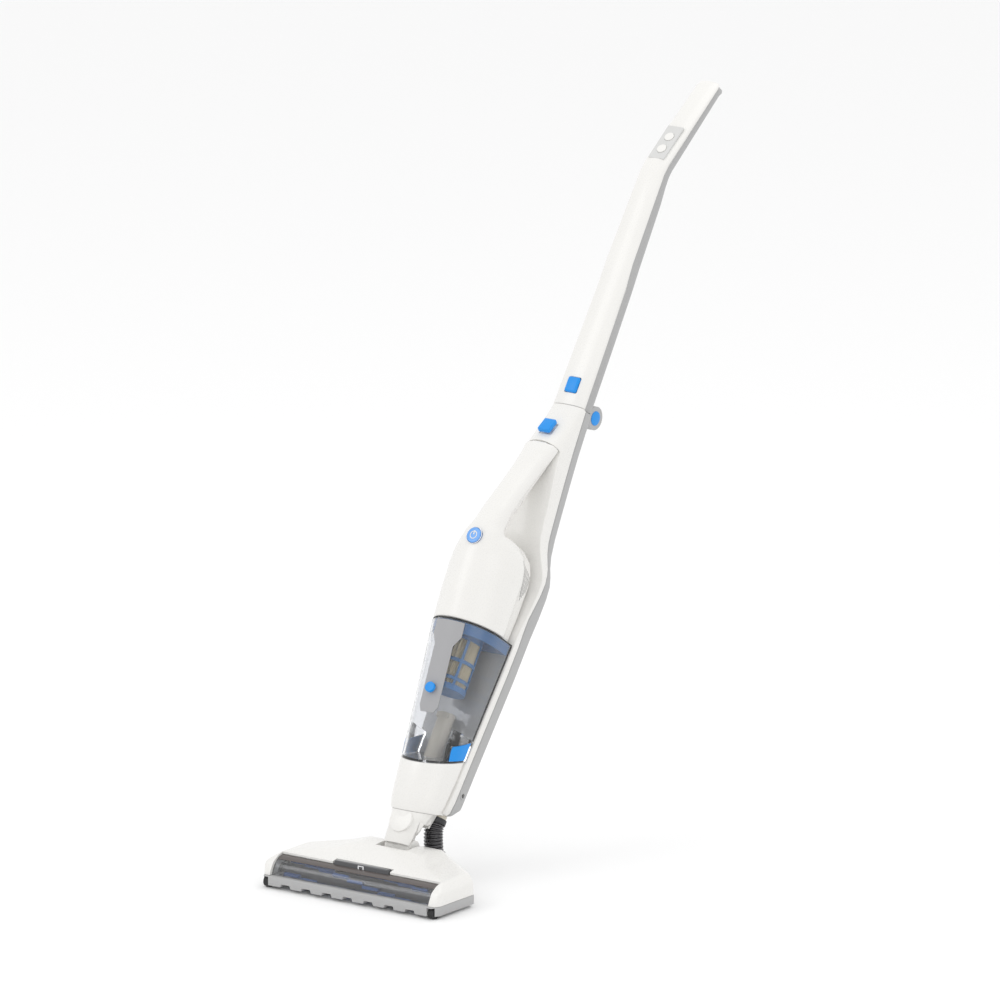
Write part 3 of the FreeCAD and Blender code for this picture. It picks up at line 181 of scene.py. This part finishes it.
def dee_loft(name, rings, corners=56):
    """A shell drawn ring by ring: a circle is flattened to a D, then extruded and reshaped.
    A ring is (height, half width, front, shoulder, back) in millimetres."""
    bpy.ops.object.select_all(action="DESELECT")
    bpy.ops.mesh.primitive_circle_add(vertices=corners, radius=1.0, fill_type="NGON")
    obj = bpy.context.active_object
    obj.name = name
    bpy.ops.object.mode_set(mode="EDIT")
    bpy.ops.mesh.select_mode(type="VERT")
    pick(obj, lambda c: c.y > 0.5)
    bpy.ops.transform.resize(value=(1, 0, 1), center_override=(0, 1, 0))
    last = (0.0, 1.0, -1.0, 0.0, 1.0)
    for index, ring in enumerate(rings):
        height, half, front, shoulder, back = (value * MM for value in ring)
        old_height, old_half, old_front, old_shoulder, old_back = last
        bpy.ops.mesh.select_all(action="DESELECT")
        pick(obj, lambda c: abs(c.z - old_height) < 1e-6)
        rise = (0, 0, height - old_height)
        if index:
            bpy.ops.mesh.extrude_region_move(TRANSFORM_OT_translate={"value": rise})
        else:
            bpy.ops.transform.translate(value=rise)
        pivot = (0, old_shoulder, height)
        bpy.ops.transform.resize(value=(half / old_half, 1, 1), center_override=pivot)
        near = 1e-6
        pick(obj, lambda c: abs(c.z - height) < near and c.y <= old_shoulder + near)
        bpy.ops.transform.resize(value=(1, (shoulder - front) / (old_shoulder - old_front), 1),
                                 center_override=pivot)
        pick(obj, lambda c: abs(c.z - height) < near and c.y > old_shoulder + near)
        bpy.ops.transform.resize(value=(1, (back - shoulder) / (old_back - old_shoulder), 1),
                                 center_override=pivot)
        pick(obj, lambda c: abs(c.z - height) < near)
        bpy.ops.transform.translate(value=(0, shoulder - old_shoulder, 0))
        last = (height, half, front, shoulder, back)
    bpy.ops.mesh.select_all(action="SELECT")
    bpy.ops.mesh.normals_make_consistent(inside=False)
    bpy.ops.object.mode_set(mode="OBJECT")
    return obj


def plate(name, points, axis, start, end):
    """A flat outline (millimetres) pushed along one axis from start to end."""
    bpy.ops.object.select_all(action="DESELECT")
    bpy.ops.mesh.primitive_circle_add(vertices=len(points), radius=1.0, fill_type="NGON")
    obj = bpy.context.active_object
    obj.name = name
    bpy.ops.object.mode_set(mode="EDIT")
    mesh = bmesh.from_edit_mesh(obj.data)
    spot = {"x": lambda a, b: (start, a, b),
            "y": lambda a, b: (a, start, b),
            "z": lambda a, b: (a, b, start)}
    for corner, (a, b) in zip(mesh.verts, points):
        corner.co = Vector(spot[axis](a, b)) * MM
    bmesh.update_edit_mesh(obj.data)
    push = Vector([(end - start) * MM if letter == axis else 0 for letter in "xyz"])
    bpy.ops.mesh.select_all(action="SELECT")
    bpy.ops.mesh.extrude_region_move(TRANSFORM_OT_translate={"value": push})
    bpy.ops.mesh.select_all(action="SELECT")
    bpy.ops.mesh.normals_make_consistent(inside=False)
    bpy.ops.object.mode_set(mode="OBJECT")
    return obj


def brick(x0, x1, y0, y1, z0, z1):
    """A plain block between two corners, in millimetres."""
    return plate("brick", [(x0, y0), (x1, y0), (x1, y1), (x0, y1)], "z", z0, z1)


def post(radius, place, axis, long, corners=48):
    """A round bar from a start point along x, y or z, in millimetres."""
    bpy.ops.object.select_all(action="DESELECT")
    turn = {"x": (0, math.pi / 2, 0), "y": (-math.pi / 2, 0, 0), "z": (0, 0, 0)}[axis]
    centre = [p + (long / 2 if letter == axis else 0) for p, letter in zip(place, "xyz")]
    bpy.ops.mesh.primitive_cylinder_add(vertices=corners, radius=radius * MM, depth=long * MM,
                                        location=[c * MM for c in centre], rotation=turn)
    obj = bpy.context.active_object
    bpy.ops.object.transform_apply(location=True, rotation=True, scale=True)
    return obj


def combine(obj, other, how="UNION"):
    """Join, cut or keep what is shared with another solid, which is used up."""
    only(obj)
    tool = obj.modifiers.new("Boolean", "BOOLEAN")
    tool.operation = how
    tool.solver = "EXACT"
    tool.object = other
    bpy.ops.object.modifier_apply(modifier=tool.name)
    bpy.data.objects.remove(other)
    return obj


def slice_off(obj, point, normal):
    """Cut away everything on the side that the normal points to, and close the cut."""
    only(obj)
    bpy.ops.object.mode_set(mode="EDIT")
    bpy.ops.mesh.select_all(action="SELECT")
    bpy.ops.mesh.bisect(plane_co=[p * MM for p in point], plane_no=normal, use_fill=True, clear_outer=True)
    bpy.ops.object.mode_set(mode="OBJECT")
    return obj


def melt(obj, voxel, passes):
    """Run the joins and edges of a moulded shell softly into each other."""
    only(obj)
    remesh = obj.modifiers.new("Remesh", "REMESH")
    remesh.mode = "VOXEL"
    remesh.voxel_size = voxel * MM
    bpy.ops.object.modifier_apply(modifier=remesh.name)
    smooth = obj.modifiers.new("Smooth", "SMOOTH")
    smooth.factor = 0.5
    smooth.iterations = passes
    bpy.ops.object.modifier_apply(modifier=smooth.name)
    return obj


def rounded(obj, width, segments=3, angle=35):
    """Soften the edges that are sharper than the angle."""
    only(obj)
    bevel = obj.modifiers.new("Bevel", "BEVEL")
    bevel.width = width * MM
    bevel.segments = segments
    bevel.limit_method = "ANGLE"
    bevel.angle_limit = math.radians(angle)
    bevel.use_clamp_overlap = True
    bpy.ops.object.modifier_apply(modifier=bevel.name)
    return obj


def leaned(obj):
    """Stand a part modelled upright over the pivot back onto the leaned stick."""
    only(obj)
    obj.location = PIVOT
    obj.rotation_euler = (-LEAN, 0, 0)
    bpy.ops.object.transform_apply(location=True, rotation=True, scale=True)
    return obj


def on_floor(obj):
    """Move a part modelled under the pivot to its place under the object."""
    only(obj)
    obj.location = (0, PIVOT.y, 0)
    bpy.ops.object.transform_apply(location=True, rotation=True, scale=True)
    return obj


def copied(obj):
    """A second copy of a solid, to be used up by a boolean."""
    only(obj)
    bpy.ops.object.duplicate()
    return bpy.context.active_object


def finished(obj, name, mat, body, replaced=(), angle=32):
    """Name, shade and colour a piece and hang it on its body."""
    only(obj)
    obj.name = name
    obj.data.materials.clear()
    obj.data.materials.append(mat)
    bpy.ops.object.shade_smooth_by_angle(angle=math.radians(angle))
    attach(obj, body)
    if replaced:
        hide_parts(*replaced)
    return obj


def mirrored(points):
    """A right-hand outline with its left-hand half added."""
    return points + [(-x, z) for x, z in reversed(points)]


# ---------------------------------------------------------------- neck cover
# White moulded apron over the swing joint: wide at the body, tapering down to the head, with a
# round boss over the swing pin.
SEAM_TILT = math.atan2(16.0, 51.0)
seam_normal = (0, -math.sin(SEAM_TILT), math.cos(SEAM_TILT))
neck = dee_loft("neck", [(0, 18, -18.5, -13, -8), (30.8, 23, -22.0, -6, 0),
                         (31.0, 23.2, -22.0, -6, 11), (60, 31, -28.2, -2, 11)])
neck = slice_off(neck, (0, -26, 37.6), seam_normal)
neck = combine(neck, brick(-21, 21, -12.5, 8.4, 0, 43), "DIFFERENCE")
neck = combine(neck, brick(-30, 30, -3.5, 30, -10, 30.5), "DIFFERENCE")
finished(leaned(rounded(neck, 0.8)), "neck_cover", WHITE, "frame", ["neck_shell"])
boss = post(15, (0, -22.0, 27.5), "y", 4.3, 64)
boss = slice_off(boss, (0, -23.9, 38), seam_normal)
finished(leaned(rounded(boss, 0.3)), "neck_boss", WHITE, "frame")

# ---------------------------------------------------------------- lower body and back frame
# The white half carries the cup: a round shell below it, a flat spine behind it and the block
# that takes the grip's top end. The grey half is the back cover.
body = dee_loft("body", [(30, 24, -22.0, 0, 20), (46, 31.5, -26.0, 0, 20), (60, 35.0, -28.4, 1, 20),
                         (96, 38.2, -34.6, 2, 20), (140, 41.2, -40.5, -2, 20)])
body = slice_off(body, (0, -26, 38.0), tuple(-n for n in seam_normal))
body = slice_off(body, (0, -34.5, 95.4), (0, -math.sin(math.radians(27)), math.cos(math.radians(27))))
OUTLINE = [(30, 50), (34.5, 56), (36.6, 70), (40, 131), (43.0, 182), (46, 233), (47.7, 284), (49.6, 310),
           (50.4, 335), (49.3, 351), (45.6, 363), (40.8, 374), (36.6, 388), (33.6, 408), (31.2, 434),
           (28, 472), (25, 512), (23.6, 543), (22.5, FRAME_TOP)]
side = plate("side", [(10.4, 52), (10.4, 280), (14.6, 320), (18, 352), (14.8, 372), (5.6, 398), (3.6, 440),
                      (-1.6, 488), (-1.7, 505), (6, 512), (18, FRAME_TOP), (23, FRAME_TOP),
                      (23.4, 500), (24, 400), (30, 372), (25, 350), (17.4, 303), (20, 270), (20, 52)],
             "x", -60, 60)
slab = plate("slab", mirrored(OUTLINE), "y", -40, 34)
slab = combine(slab, side, "INTERSECT")
slab = rounded(slab, 1.6, 3, 40)
block = dee_loft("block", [(500, 26, -19.5, 5, 23.6), (512, 25.2, -14.6, 7, 23.6),
                          (560, 22.7, 8.6, 18, 23.3),
                          (FRAME_TOP, 22.4, 9.6, 18.5, 23)])
block = slice_off(block, (0, -14.7, 511.3), (0, -0.436, -0.9))
body = combine(combine(rounded(body, 0.7), slab), block)
hole = plate("hole", [(-16.5, 524.0), (-8.5, 541.0), (0, 537), (-8, 520)], "x", -8.8, 8.8)
body = combine(body, hole, "DIFFERENCE")
finished(leaned(body), "body_shell", WHITE, "frame", ["frame_front"], 40)
rear = plate("rear", mirrored(OUTLINE), "y", 10, 40)
back_side = plate("back_side", [(20.6, 52), (25, 54), (35.6, 66), (36, 300),
                                (36, FRAME_TOP), (23.6, FRAME_TOP),
                                (24, 500), (24.6, 400), (30.4, 372), (25.4, 350), (18, 303), (20.6, 270)],
                  "x", -60, 60)
rear = combine(rear, back_side, "INTERSECT")
rear = rounded(rear, 2.0, 3, 40)
for sign in (-1, 1):
    rear = combine(rear, brick(sign * 14.2 - 6, sign * 14.2 + 6, 33.5, 45, 553.5, 566))
    rear = combine(rear, post(14, (sign * 14.2 - 6.2, HINGE_Y, HINGE_Z), "x", 12.4, 64))
rear = combine(rear, post(14, (-7.9, HINGE_Y, HINGE_Z), "x", 15.8, 64), "DIFFERENCE")
rear = combine(rear, rounded(brick(-9, 9, 35.5, 38.8, 291, 301), 1.0))
rear = combine(rear, post(4.65, (20, 28, 82), "x", 30), "DIFFERENCE")
finished(leaned(rear), "back_cover", GREY, "frame", ["frame_rear"], 40)

# ---------------------------------------------------------------- folding handle
# Two long half shells, white in front and grey behind, bent back at the grip.
BEND = math.radians(19.7)


def bent(obj, where=(23, 873)):
    """Tip the grip end of the handle back about its bend."""
    only(obj)
    bpy.ops.object.mode_set(mode="EDIT")
    pick(obj, lambda c: c.z > (where[1] + 4) * MM)
    bpy.ops.transform.rotate(value=BEND, orient_axis="X",
                             center_override=(0, where[0] * MM, where[1] * MM))
    bpy.ops.object.mode_set(mode="OBJECT")
    return obj


front = dee_loft("front", [(567.2, 22.4, 9.6, 18.5, 23.0), (645, 21.2, 10, 18.5, 23.8),
                           (722, 19.6, 10.4, 18, 24.4), (752, 19, 10.6, 16, 19.4),
                           (828, 17.8, 10.8, 17, 21.4), (868, 17, 11, 17.5, 22.5),
                           (880, 16.8, 11, 17.5, 22.6), (1004, 15.5, 14.4, 19.5, 22.8),
                           (1011, 13.5, 16, 20, 22.8)])
front = rounded(bent(front), 0.9, 3, 50)
front = combine(front, rounded(brick(-9, 9, 5, 15.6, 581.6, 601.9), 1.8, 3), "DIFFERENCE")
finished(leaned(front), "handle_shell", WHITE, "handle", ["handle_front"], 40)
grey = dee_loft("grey", [(567.2, 22.2, 36, 33, 23.2), (645, 21, 36, 33, 24.0), (722, 19.4, 36, 33, 24.6),
                         (752, 18.8, 35.6, 32, 19.6), (834, 17.4, 34.6, 31, 21.8),
                         (856, 17, 32.4, 29, 22.4), (868, 16.8, 32, 29, 22.7),
                         (880, 16.6, 31.6, 29, 22.8), (1000, 15.4, 30.4, 28, 23.0),
                         (1006, 15, 33.5, 30, 23.0), (1010, 13.5, 33, 30, 23.0)])
grey = rounded(bent(grey), 0.9, 3, 50)
grey = combine(grey, brick(-7.6, 7.6, 34, 47, 567.2, 580))
grey = combine(grey, post(13.5, (-7.7, HINGE_Y, HINGE_Z), "x", 15.4, 64))
for sign in (-1, 1):
    grey = combine(grey, post(14.6, (sign * 14.3 - 6.4, HINGE_Y, HINGE_Z), "x", 12.8, 64), "DIFFERENCE")
finished(leaned(grey), "handle_back", GREY, "handle", ["handle_rear"], 40)

# ---------------------------------------------------------------- hand-held cleaner's housing
# White shell over motor and cells that runs up into its grip; one moulding, so the grip flows
# out of the body with no seam.
shell = dee_loft("shell", [(266.9, 45.4, -63.6, -18, 8.6), (300, 46.2, -67.8, -20, 9.4),
                           (336, 46.4, -71.4, -21, 9.6),
                           (352, 44.5, -72.6, -22, 9), (366, 39, -73, -26, 6), (376, 31, -72, -32, -2),
                           (379, 26, -71, -36, -8)])
grip = dee_loft("grip", [(352, 32, -72.4, -52, -40), (376, 25, -71.8, -54, -42), (388, 20.5, -69, -50, -41),
                         (409, 19.5, -59.9, -46, -36.2), (440, 18.6, -46.4, -33, -21.5),
                         (474, 19.6, -31.2, -17, -7.6), (492, 22, -23, -8, -3), (512, 24.5, -14.5, -2, 3)])
grip = slice_off(grip, (0, -15.1, 510.6), (0, 6.3 / 14.5, 13.1 / 14.5))
shell = melt(combine(shell, grip), 1.3, 14)
shell = slice_off(shell, (0, 0, CUP_TOP), (0, 0, -1))
shell = combine(shell, post(10.2, (0, -78, POWER_KEY_Z), "y", 14), "DIFFERENCE")
# Seven slanted vent slots on each flank, filled flush with black: painted shade standing in for the dark
# inside of the open slots.
for sign, word in ((-1, "left"), (1, "right")):
    slot_shade = copied(shell)
    slots = None
    for k in range(7):
        foot, top = 318 + 4 * abs(3 - k), 366 - 1.6 * abs(k - 2) ** 1.6
        slot = plate("slot", [(-9.5 + 2.2 * k, foot), (-8.6 + 2.2 * k, foot), (-18.6 + 4.1 * k, top),
                              (-19.6 + 4.1 * k, top)], "x", sign * 38, sign * 60)
        slots = combine(slots, slot) if slots else slot
    slot_shade = combine(slot_shade, copied(slots), "INTERSECT")
    shell = combine(shell, slots, "DIFFERENCE")
    # painted shade: the black fill sits flush where the slots' shaded inside would be
    finished(leaned(slot_shade), "vent_slot_shade_" + word, DARK, "handheld")
finished(leaned(shell), "housing_shell", WHITE, "handheld",
         ["housing", "front_panel", "vent_grille_left", "vent_grille_right"], 50)

# ---------------------------------------------------------------- floor head cover
# Low white moulding with sloping shoulders and a hump over the neck, cut out for the window,
# the lamp bar and the neck.
PLAN = [(44, 15), (126.4, -30.5), (126.8, -97), (121, -106.6)]
cover = plate("cover", mirrored(PLAN), "z", 9, 55)
cover_side = plate("cover_side", [(-105, 9), (-103.5, 16), (-102, 20), (-96.5, 29.5),
                                  (-88, 35.2), (-77, 38.8), (-24, 48.5),
                                  (-4, 49.6), (10, 47.5), (15.6, 40), (16, 9)], "x", -130, 130)
cover_front = plate("cover_front", mirrored([(127, 9), (127, 29), (116, 38.6), (72, 43.5), (42, 49.8)]),
                    "y", -120, 30)
cover = combine(combine(cover, cover_side, "INTERSECT"), cover_front, "INTERSECT")
cover = melt(cover, 1.4, 22)
cover = slice_off(cover, (0, 0, 15), (0, 0, -1))
cover = combine(cover, brick(-23, 23, -21, 30, 0, 60), "DIFFERENCE")
tube = post(23.8, (-114.6, ROLL_Y, ROLL_Z), "x", 229.2, 96)
tube = slice_off(tube, (0, -70.8, 0), (0, 1, 0))
cover = combine(cover, tube, "DIFFERENCE")
cover = combine(cover, brick(-114.6, 114.6, -112, -78.6, 10, 60), "DIFFERENCE")
cover = combine(cover, brick(-41.4, 41.4, -92, -70.7, 31.6, 60), "DIFFERENCE")
cover = combine(cover, brick(4, 41.5, -20, 30, 0, 29.5), "DIFFERENCE")
finished(on_floor(cover), "head_shell", WHITE, "head", ["head_cover"], 40)

# ---------------------------------------------------------------- floor head base
# Grey tray under the cover: its front skirt is scalloped, and the front wheels show at both ends.
base = plate("base", mirrored(PLAN), "z", 3.6, 14.6)
for step in range(-3, 4):
    notch = plate("notch", [(step * 30 - 9, 0), (step * 30 + 9, 0),
                            (step * 30 + 6, 7.4), (step * 30 - 6, 7.4)],
                  "y", -110, -96)
    base = combine(base, notch, "DIFFERENCE")
base = combine(base, brick(-109, 109, -95, -59, 0, 13), "DIFFERENCE")
base = rounded(base, 0.8, 2, 50)
base = combine(base, brick(-109, 109, -95, -59, 10, 20), "DIFFERENCE")
for sign in (-1, 1):
    for x, y, radius in ((119, -99, 6.5), (62, -22, 8)):
        pocket = brick(sign * x - 4.4, sign * x + 4.4,
                       y - radius - (3 if x > 100 else 1), y + radius + 1,
                       0, 2 * radius + 0.6)
        base = combine(base, pocket, "DIFFERENCE")
base = combine(base, brick(-26.4, 26.4, -21, 30, 0, 30), "DIFFERENCE")
base = combine(base, brick(4, 41.5, -56, 30, 6.4, 30), "DIFFERENCE")
floor_plate = plate("floor_plate", mirrored([(26.3, 15.6), (26.3, -20.9)]), "z", 3.6, 6.2)
base = combine(base, floor_plate)
for sign in (-1, 1):
    ear = combine(brick(sign * 20.8 - 2.5, sign * 20.8 + 2.5, -9, 9, 4.5, 44),
                  post(9, (sign * 20.8 - 2.5, 0, 44), "x", 5))
    base = combine(base, rounded(ear, 0.6))
base = combine(base, post(3, (-30, 0, 44), "x", 60), "DIFFERENCE")
finished(on_floor(base), "head_tray", GREY, "head", ["head_base"], 40)

# ---------------------------------------------------------------- smoked window and lamp bar
# Clear smoked strip over the brush with a printed dark band along its top edge.
window = post(23.3, (-114, ROLL_Y, ROLL_Z), "x", 228, 128)
window = combine(window, post(21.6, (-116, ROLL_Y, ROLL_Z), "x", 232, 128), "DIFFERENCE")
window = slice_off(window, (0, -79.2, 0), (0, 1, 0))
window = slice_off(window, (0, 0, 15.4), (0, 0, -1))
finished(on_floor(window), "window", SMOKE, "head", ["brush_window"], 40)
band = post(23.45, (-113.6, ROLL_Y, ROLL_Z), "x", 227.2, 128)
band = combine(band, post(23.32, (-116, ROLL_Y, ROLL_Z), "x", 232, 128), "DIFFERENCE")
band = slice_off(band, (0, -79.4, 0), (0, 1, 0))
band = slice_off(band, (0, ROLL_Y, ROLL_Z), (0, 0.6, -0.8))
band = slice_off(band, (0, -88.4, 0), (0, -1, 0))
finished(on_floor(band), "window_band", plastic("smoked band", (0.10, 0.085, 0.08), 0.12, bump=0.0),
         "head", angle=40)
bar = plate("bar", [(-41, 32.2), (41, 32.2), (38, 40.3), (-38, 40.3)], "y", -80, -71.2)
bar = rounded(bar, 1.2)
finished(on_floor(bar), "lamp_lens", plastic("lamp lens", (0.045, 0.045, 0.05), 0.15, coat=0.5), "head",
         ["led_bar"])
lamp_ring = combine(rounded(brick(-4.2, 4.2, -80.25, -79.9, 33.0, 39.4), 0.1),
                    brick(-2.8, 2.8, -81, -79, 34.4, 38.4), "DIFFERENCE")
finished(on_floor(lamp_ring), "lamp_ring", CHROME, "head")

# ---------------------------------------------------------------- hose
# Black corrugated hose: a soft bore with a ring every few millimetres, in two lengths, one from the head to
# the middle of its run and one from there to the body.
HOSE_X = 17
low_end = Vector((HOSE_X, 39, 30.4)) * MM + Vector((0, PIVOT.y, 0))
stick_up = Vector((0, math.sin(LEAN), math.cos(LEAN)))
stick_back = Vector((0, math.cos(LEAN), -math.sin(LEAN)))
top_end = PIVOT + Vector((HOSE_X * MM, 0, 0)) + stick_up * 0.0432 + stick_back * 0.022
REACH = (top_end - low_end).length / 3


def route(share):
    """A point on the hose's middle line and its direction, from the head (0) to the body (1)."""
    low_pull, top_pull = low_end + Vector((0, 0, REACH)), top_end - stick_up * REACH
    rest = 1 - share
    point = (low_end * rest ** 3 + low_pull * 3 * share * rest ** 2
             + top_pull * 3 * share * share * rest + top_end * share ** 3)
    slope = ((low_pull - low_end) * 3 * rest ** 2 + (top_pull - low_pull) * 6 * share * rest
             + (top_end - top_pull) * 3 * share * share)
    return point, slope.normalized()


RIBS = 10
hose_mat = plastic("black corrugated rubber", (0.03, 0.028, 0.032), 0.25, bump=0.1, coat=0.6)
for half, name in ((0, "hose_lower"), (1, "hose_upper")):
    rings = []
    for k in range(RIBS // 2):
        for radius, thick, shift in ((10.4, 1.1, 0.0), (8.4, 1.5, 0.5)):
            point, slope = route((half * RIBS // 2 + k + 0.25 + shift) / RIBS)
            bpy.ops.object.select_all(action="DESELECT")
            bpy.ops.mesh.primitive_torus_add(major_segments=48, minor_segments=12, major_radius=radius * MM,
                                             minor_radius=thick * MM, location=point,
                                             rotation=slope.to_track_quat("Z", "Y").to_euler())
            rings.append(bpy.context.active_object)
    bpy.ops.object.select_all(action="DESELECT")
    for ring in rings:
        ring.select_set(True)
    bpy.context.view_layer.objects.active = rings[0]
    bpy.ops.object.join()
    bpy.ops.object.transform_apply(location=True, rotation=True, scale=True)
    hose = bpy.context.active_object
    hose.name = name
    hose.data.materials.clear()
    hose.data.materials.append(hose_mat)
    bpy.ops.object.shade_smooth()
    if half:
        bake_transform(hose)
    else:
        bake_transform(hose)
    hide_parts("head_hose")

# ---------------------------------------------------------------- buttons and badges
# Raised keys with soft corners; the power marks are plain rings with a short bar.
key = rounded(brick(-8.4, 8.4, 7.4, 13.4, 582, 601.5), 2.6, 4)
finished(leaned(key), "fold_key", BLUE, "fold_button", ["fold_button"])
key = plate("key", [(-17.0, 524.4), (-9.0, 541.2), (-3.2, 538.4), (-11.2, 521.6)], "x", -8.2, 8.2)
finished(leaned(rounded(key, 1.6, 4)), "release_key", BLUE, "release_button", ["release_button"])
disc = rounded(post(9.4, (0, -74.7, POWER_KEY_Z), "y", 7, 64), 0.8)
finished(leaned(disc), "power_disc", plastic("pale blue key", (0.13, 0.36, 0.80), 0.25, coat=0.4),
         "hand_button", ["hand_button"])


def ring(name, major, minor, place, body, mat, tip=0.0):
    """A thin ring facing the front of the stick."""
    bpy.ops.object.select_all(action="DESELECT")
    bpy.ops.mesh.primitive_torus_add(major_segments=64, minor_segments=10, major_radius=major * MM,
                                     minor_radius=minor * MM, location=[p * MM for p in place],
                                     rotation=(math.pi / 2 - tip, 0, 0))
    bpy.ops.object.transform_apply(location=True, rotation=True, scale=True)
    return finished(leaned(bpy.context.active_object), name, mat, body, angle=60)


badge = rounded(post(6.2, (0, -56.2, 181.5), "y", 12, 64), 0.3)
badge = combine(badge, brick(-10, 10, -52.4, -40, 170, 190), "DIFFERENCE")
finished(leaned(badge), "cup_badge", BLUE, "dust_cup")
ring("power_rim", 10.2, 0.5, (0, -73.4, POWER_KEY_Z), "handheld", CHROME)
ring("power_mark", 4.4, 0.55, (0, -74.75, POWER_KEY_Z), "hand_button", WHITE)
bar = rounded(brick(-0.7, 0.7, -75.1, -74.5, 366.5, 371.5), 0.15)
finished(leaned(bar), "power_bar", WHITE, "hand_button")
for sign, word in ((-1, "left"), (1, "right")):
    cap = rounded(post(8.5, (sign * 20.6 - 0.6, HINGE_Y, HINGE_Z), "x", 1.2, 64), 0.4)
    finished(leaned(cap), "hinge_disc_" + word, BLUE, "frame", ["hinge_cap_" + word])

# ---------------------------------------------------------------- studio
# White floor that meets a white backdrop, with a broad key light, a fill and a top light.
bpy.ops.mesh.primitive_plane_add(size=30, location=(0, 0, -0.0002))
floor = bpy.context.active_object
floor.name = "floor"
floor.data.materials.append(plastic("studio floor", (0.93, 0.93, 0.93), 0.9, bump=0.0, vary=0.0))
world = bpy.data.worlds.new("studio")
bpy.context.scene.world = world
world.use_nodes = True
world.node_tree.nodes["Background"].inputs["Color"].default_value = (1.0, 1.0, 1.0, 1)
world.node_tree.nodes["Background"].inputs["Strength"].default_value = 1.0


def lamp(name, place, energy, size):
    bpy.ops.object.light_add(type="AREA", location=place)
    light = bpy.context.active_object
    light.name = name
    light.data.energy = energy
    light.data.size = size
    light.rotation_euler = (Vector((0, 0, 0.35)) - Vector(place)).to_track_quat("-Z", "Y").to_euler()


lamp("key", (-1.6, -2.2, 2.6), 11.0, 1.6)
lamp("fill", (2.4, -1.6, 1.4), 4.5, 2.0)
lamp("top", (0.2, 0.8, 2.8), 8.0, 1.8)

AZIMUTH, ELEVATION, DISTANCE = math.radians(36.4), math.radians(14.0), 18.5185
toward = Vector((math.sin(AZIMUTH) * math.cos(ELEVATION), -math.cos(AZIMUTH) * math.cos(ELEVATION),
                 math.sin(ELEVATION)))
right = Vector((math.cos(AZIMUTH), math.sin(AZIMUTH), 0))
up = toward.cross(right)
aim = Vector((0, -0.351, 0)) + 0.1713 * right + 0.4653 * up
bpy.ops.object.camera_add(location=aim + toward * DISTANCE)
camera = bpy.context.active_object
turned = Matrix((right, up, toward)).transposed().to_4x4()
camera.matrix_world = Matrix.Translation(aim + toward * DISTANCE) @ turned
camera.data.sensor_width = 36.0
camera.data.lens = 576.0
camera.data.clip_end = 60.0
bpy.context.scene.camera = camera
bpy.context.scene.view_settings.view_transform = "Standard"
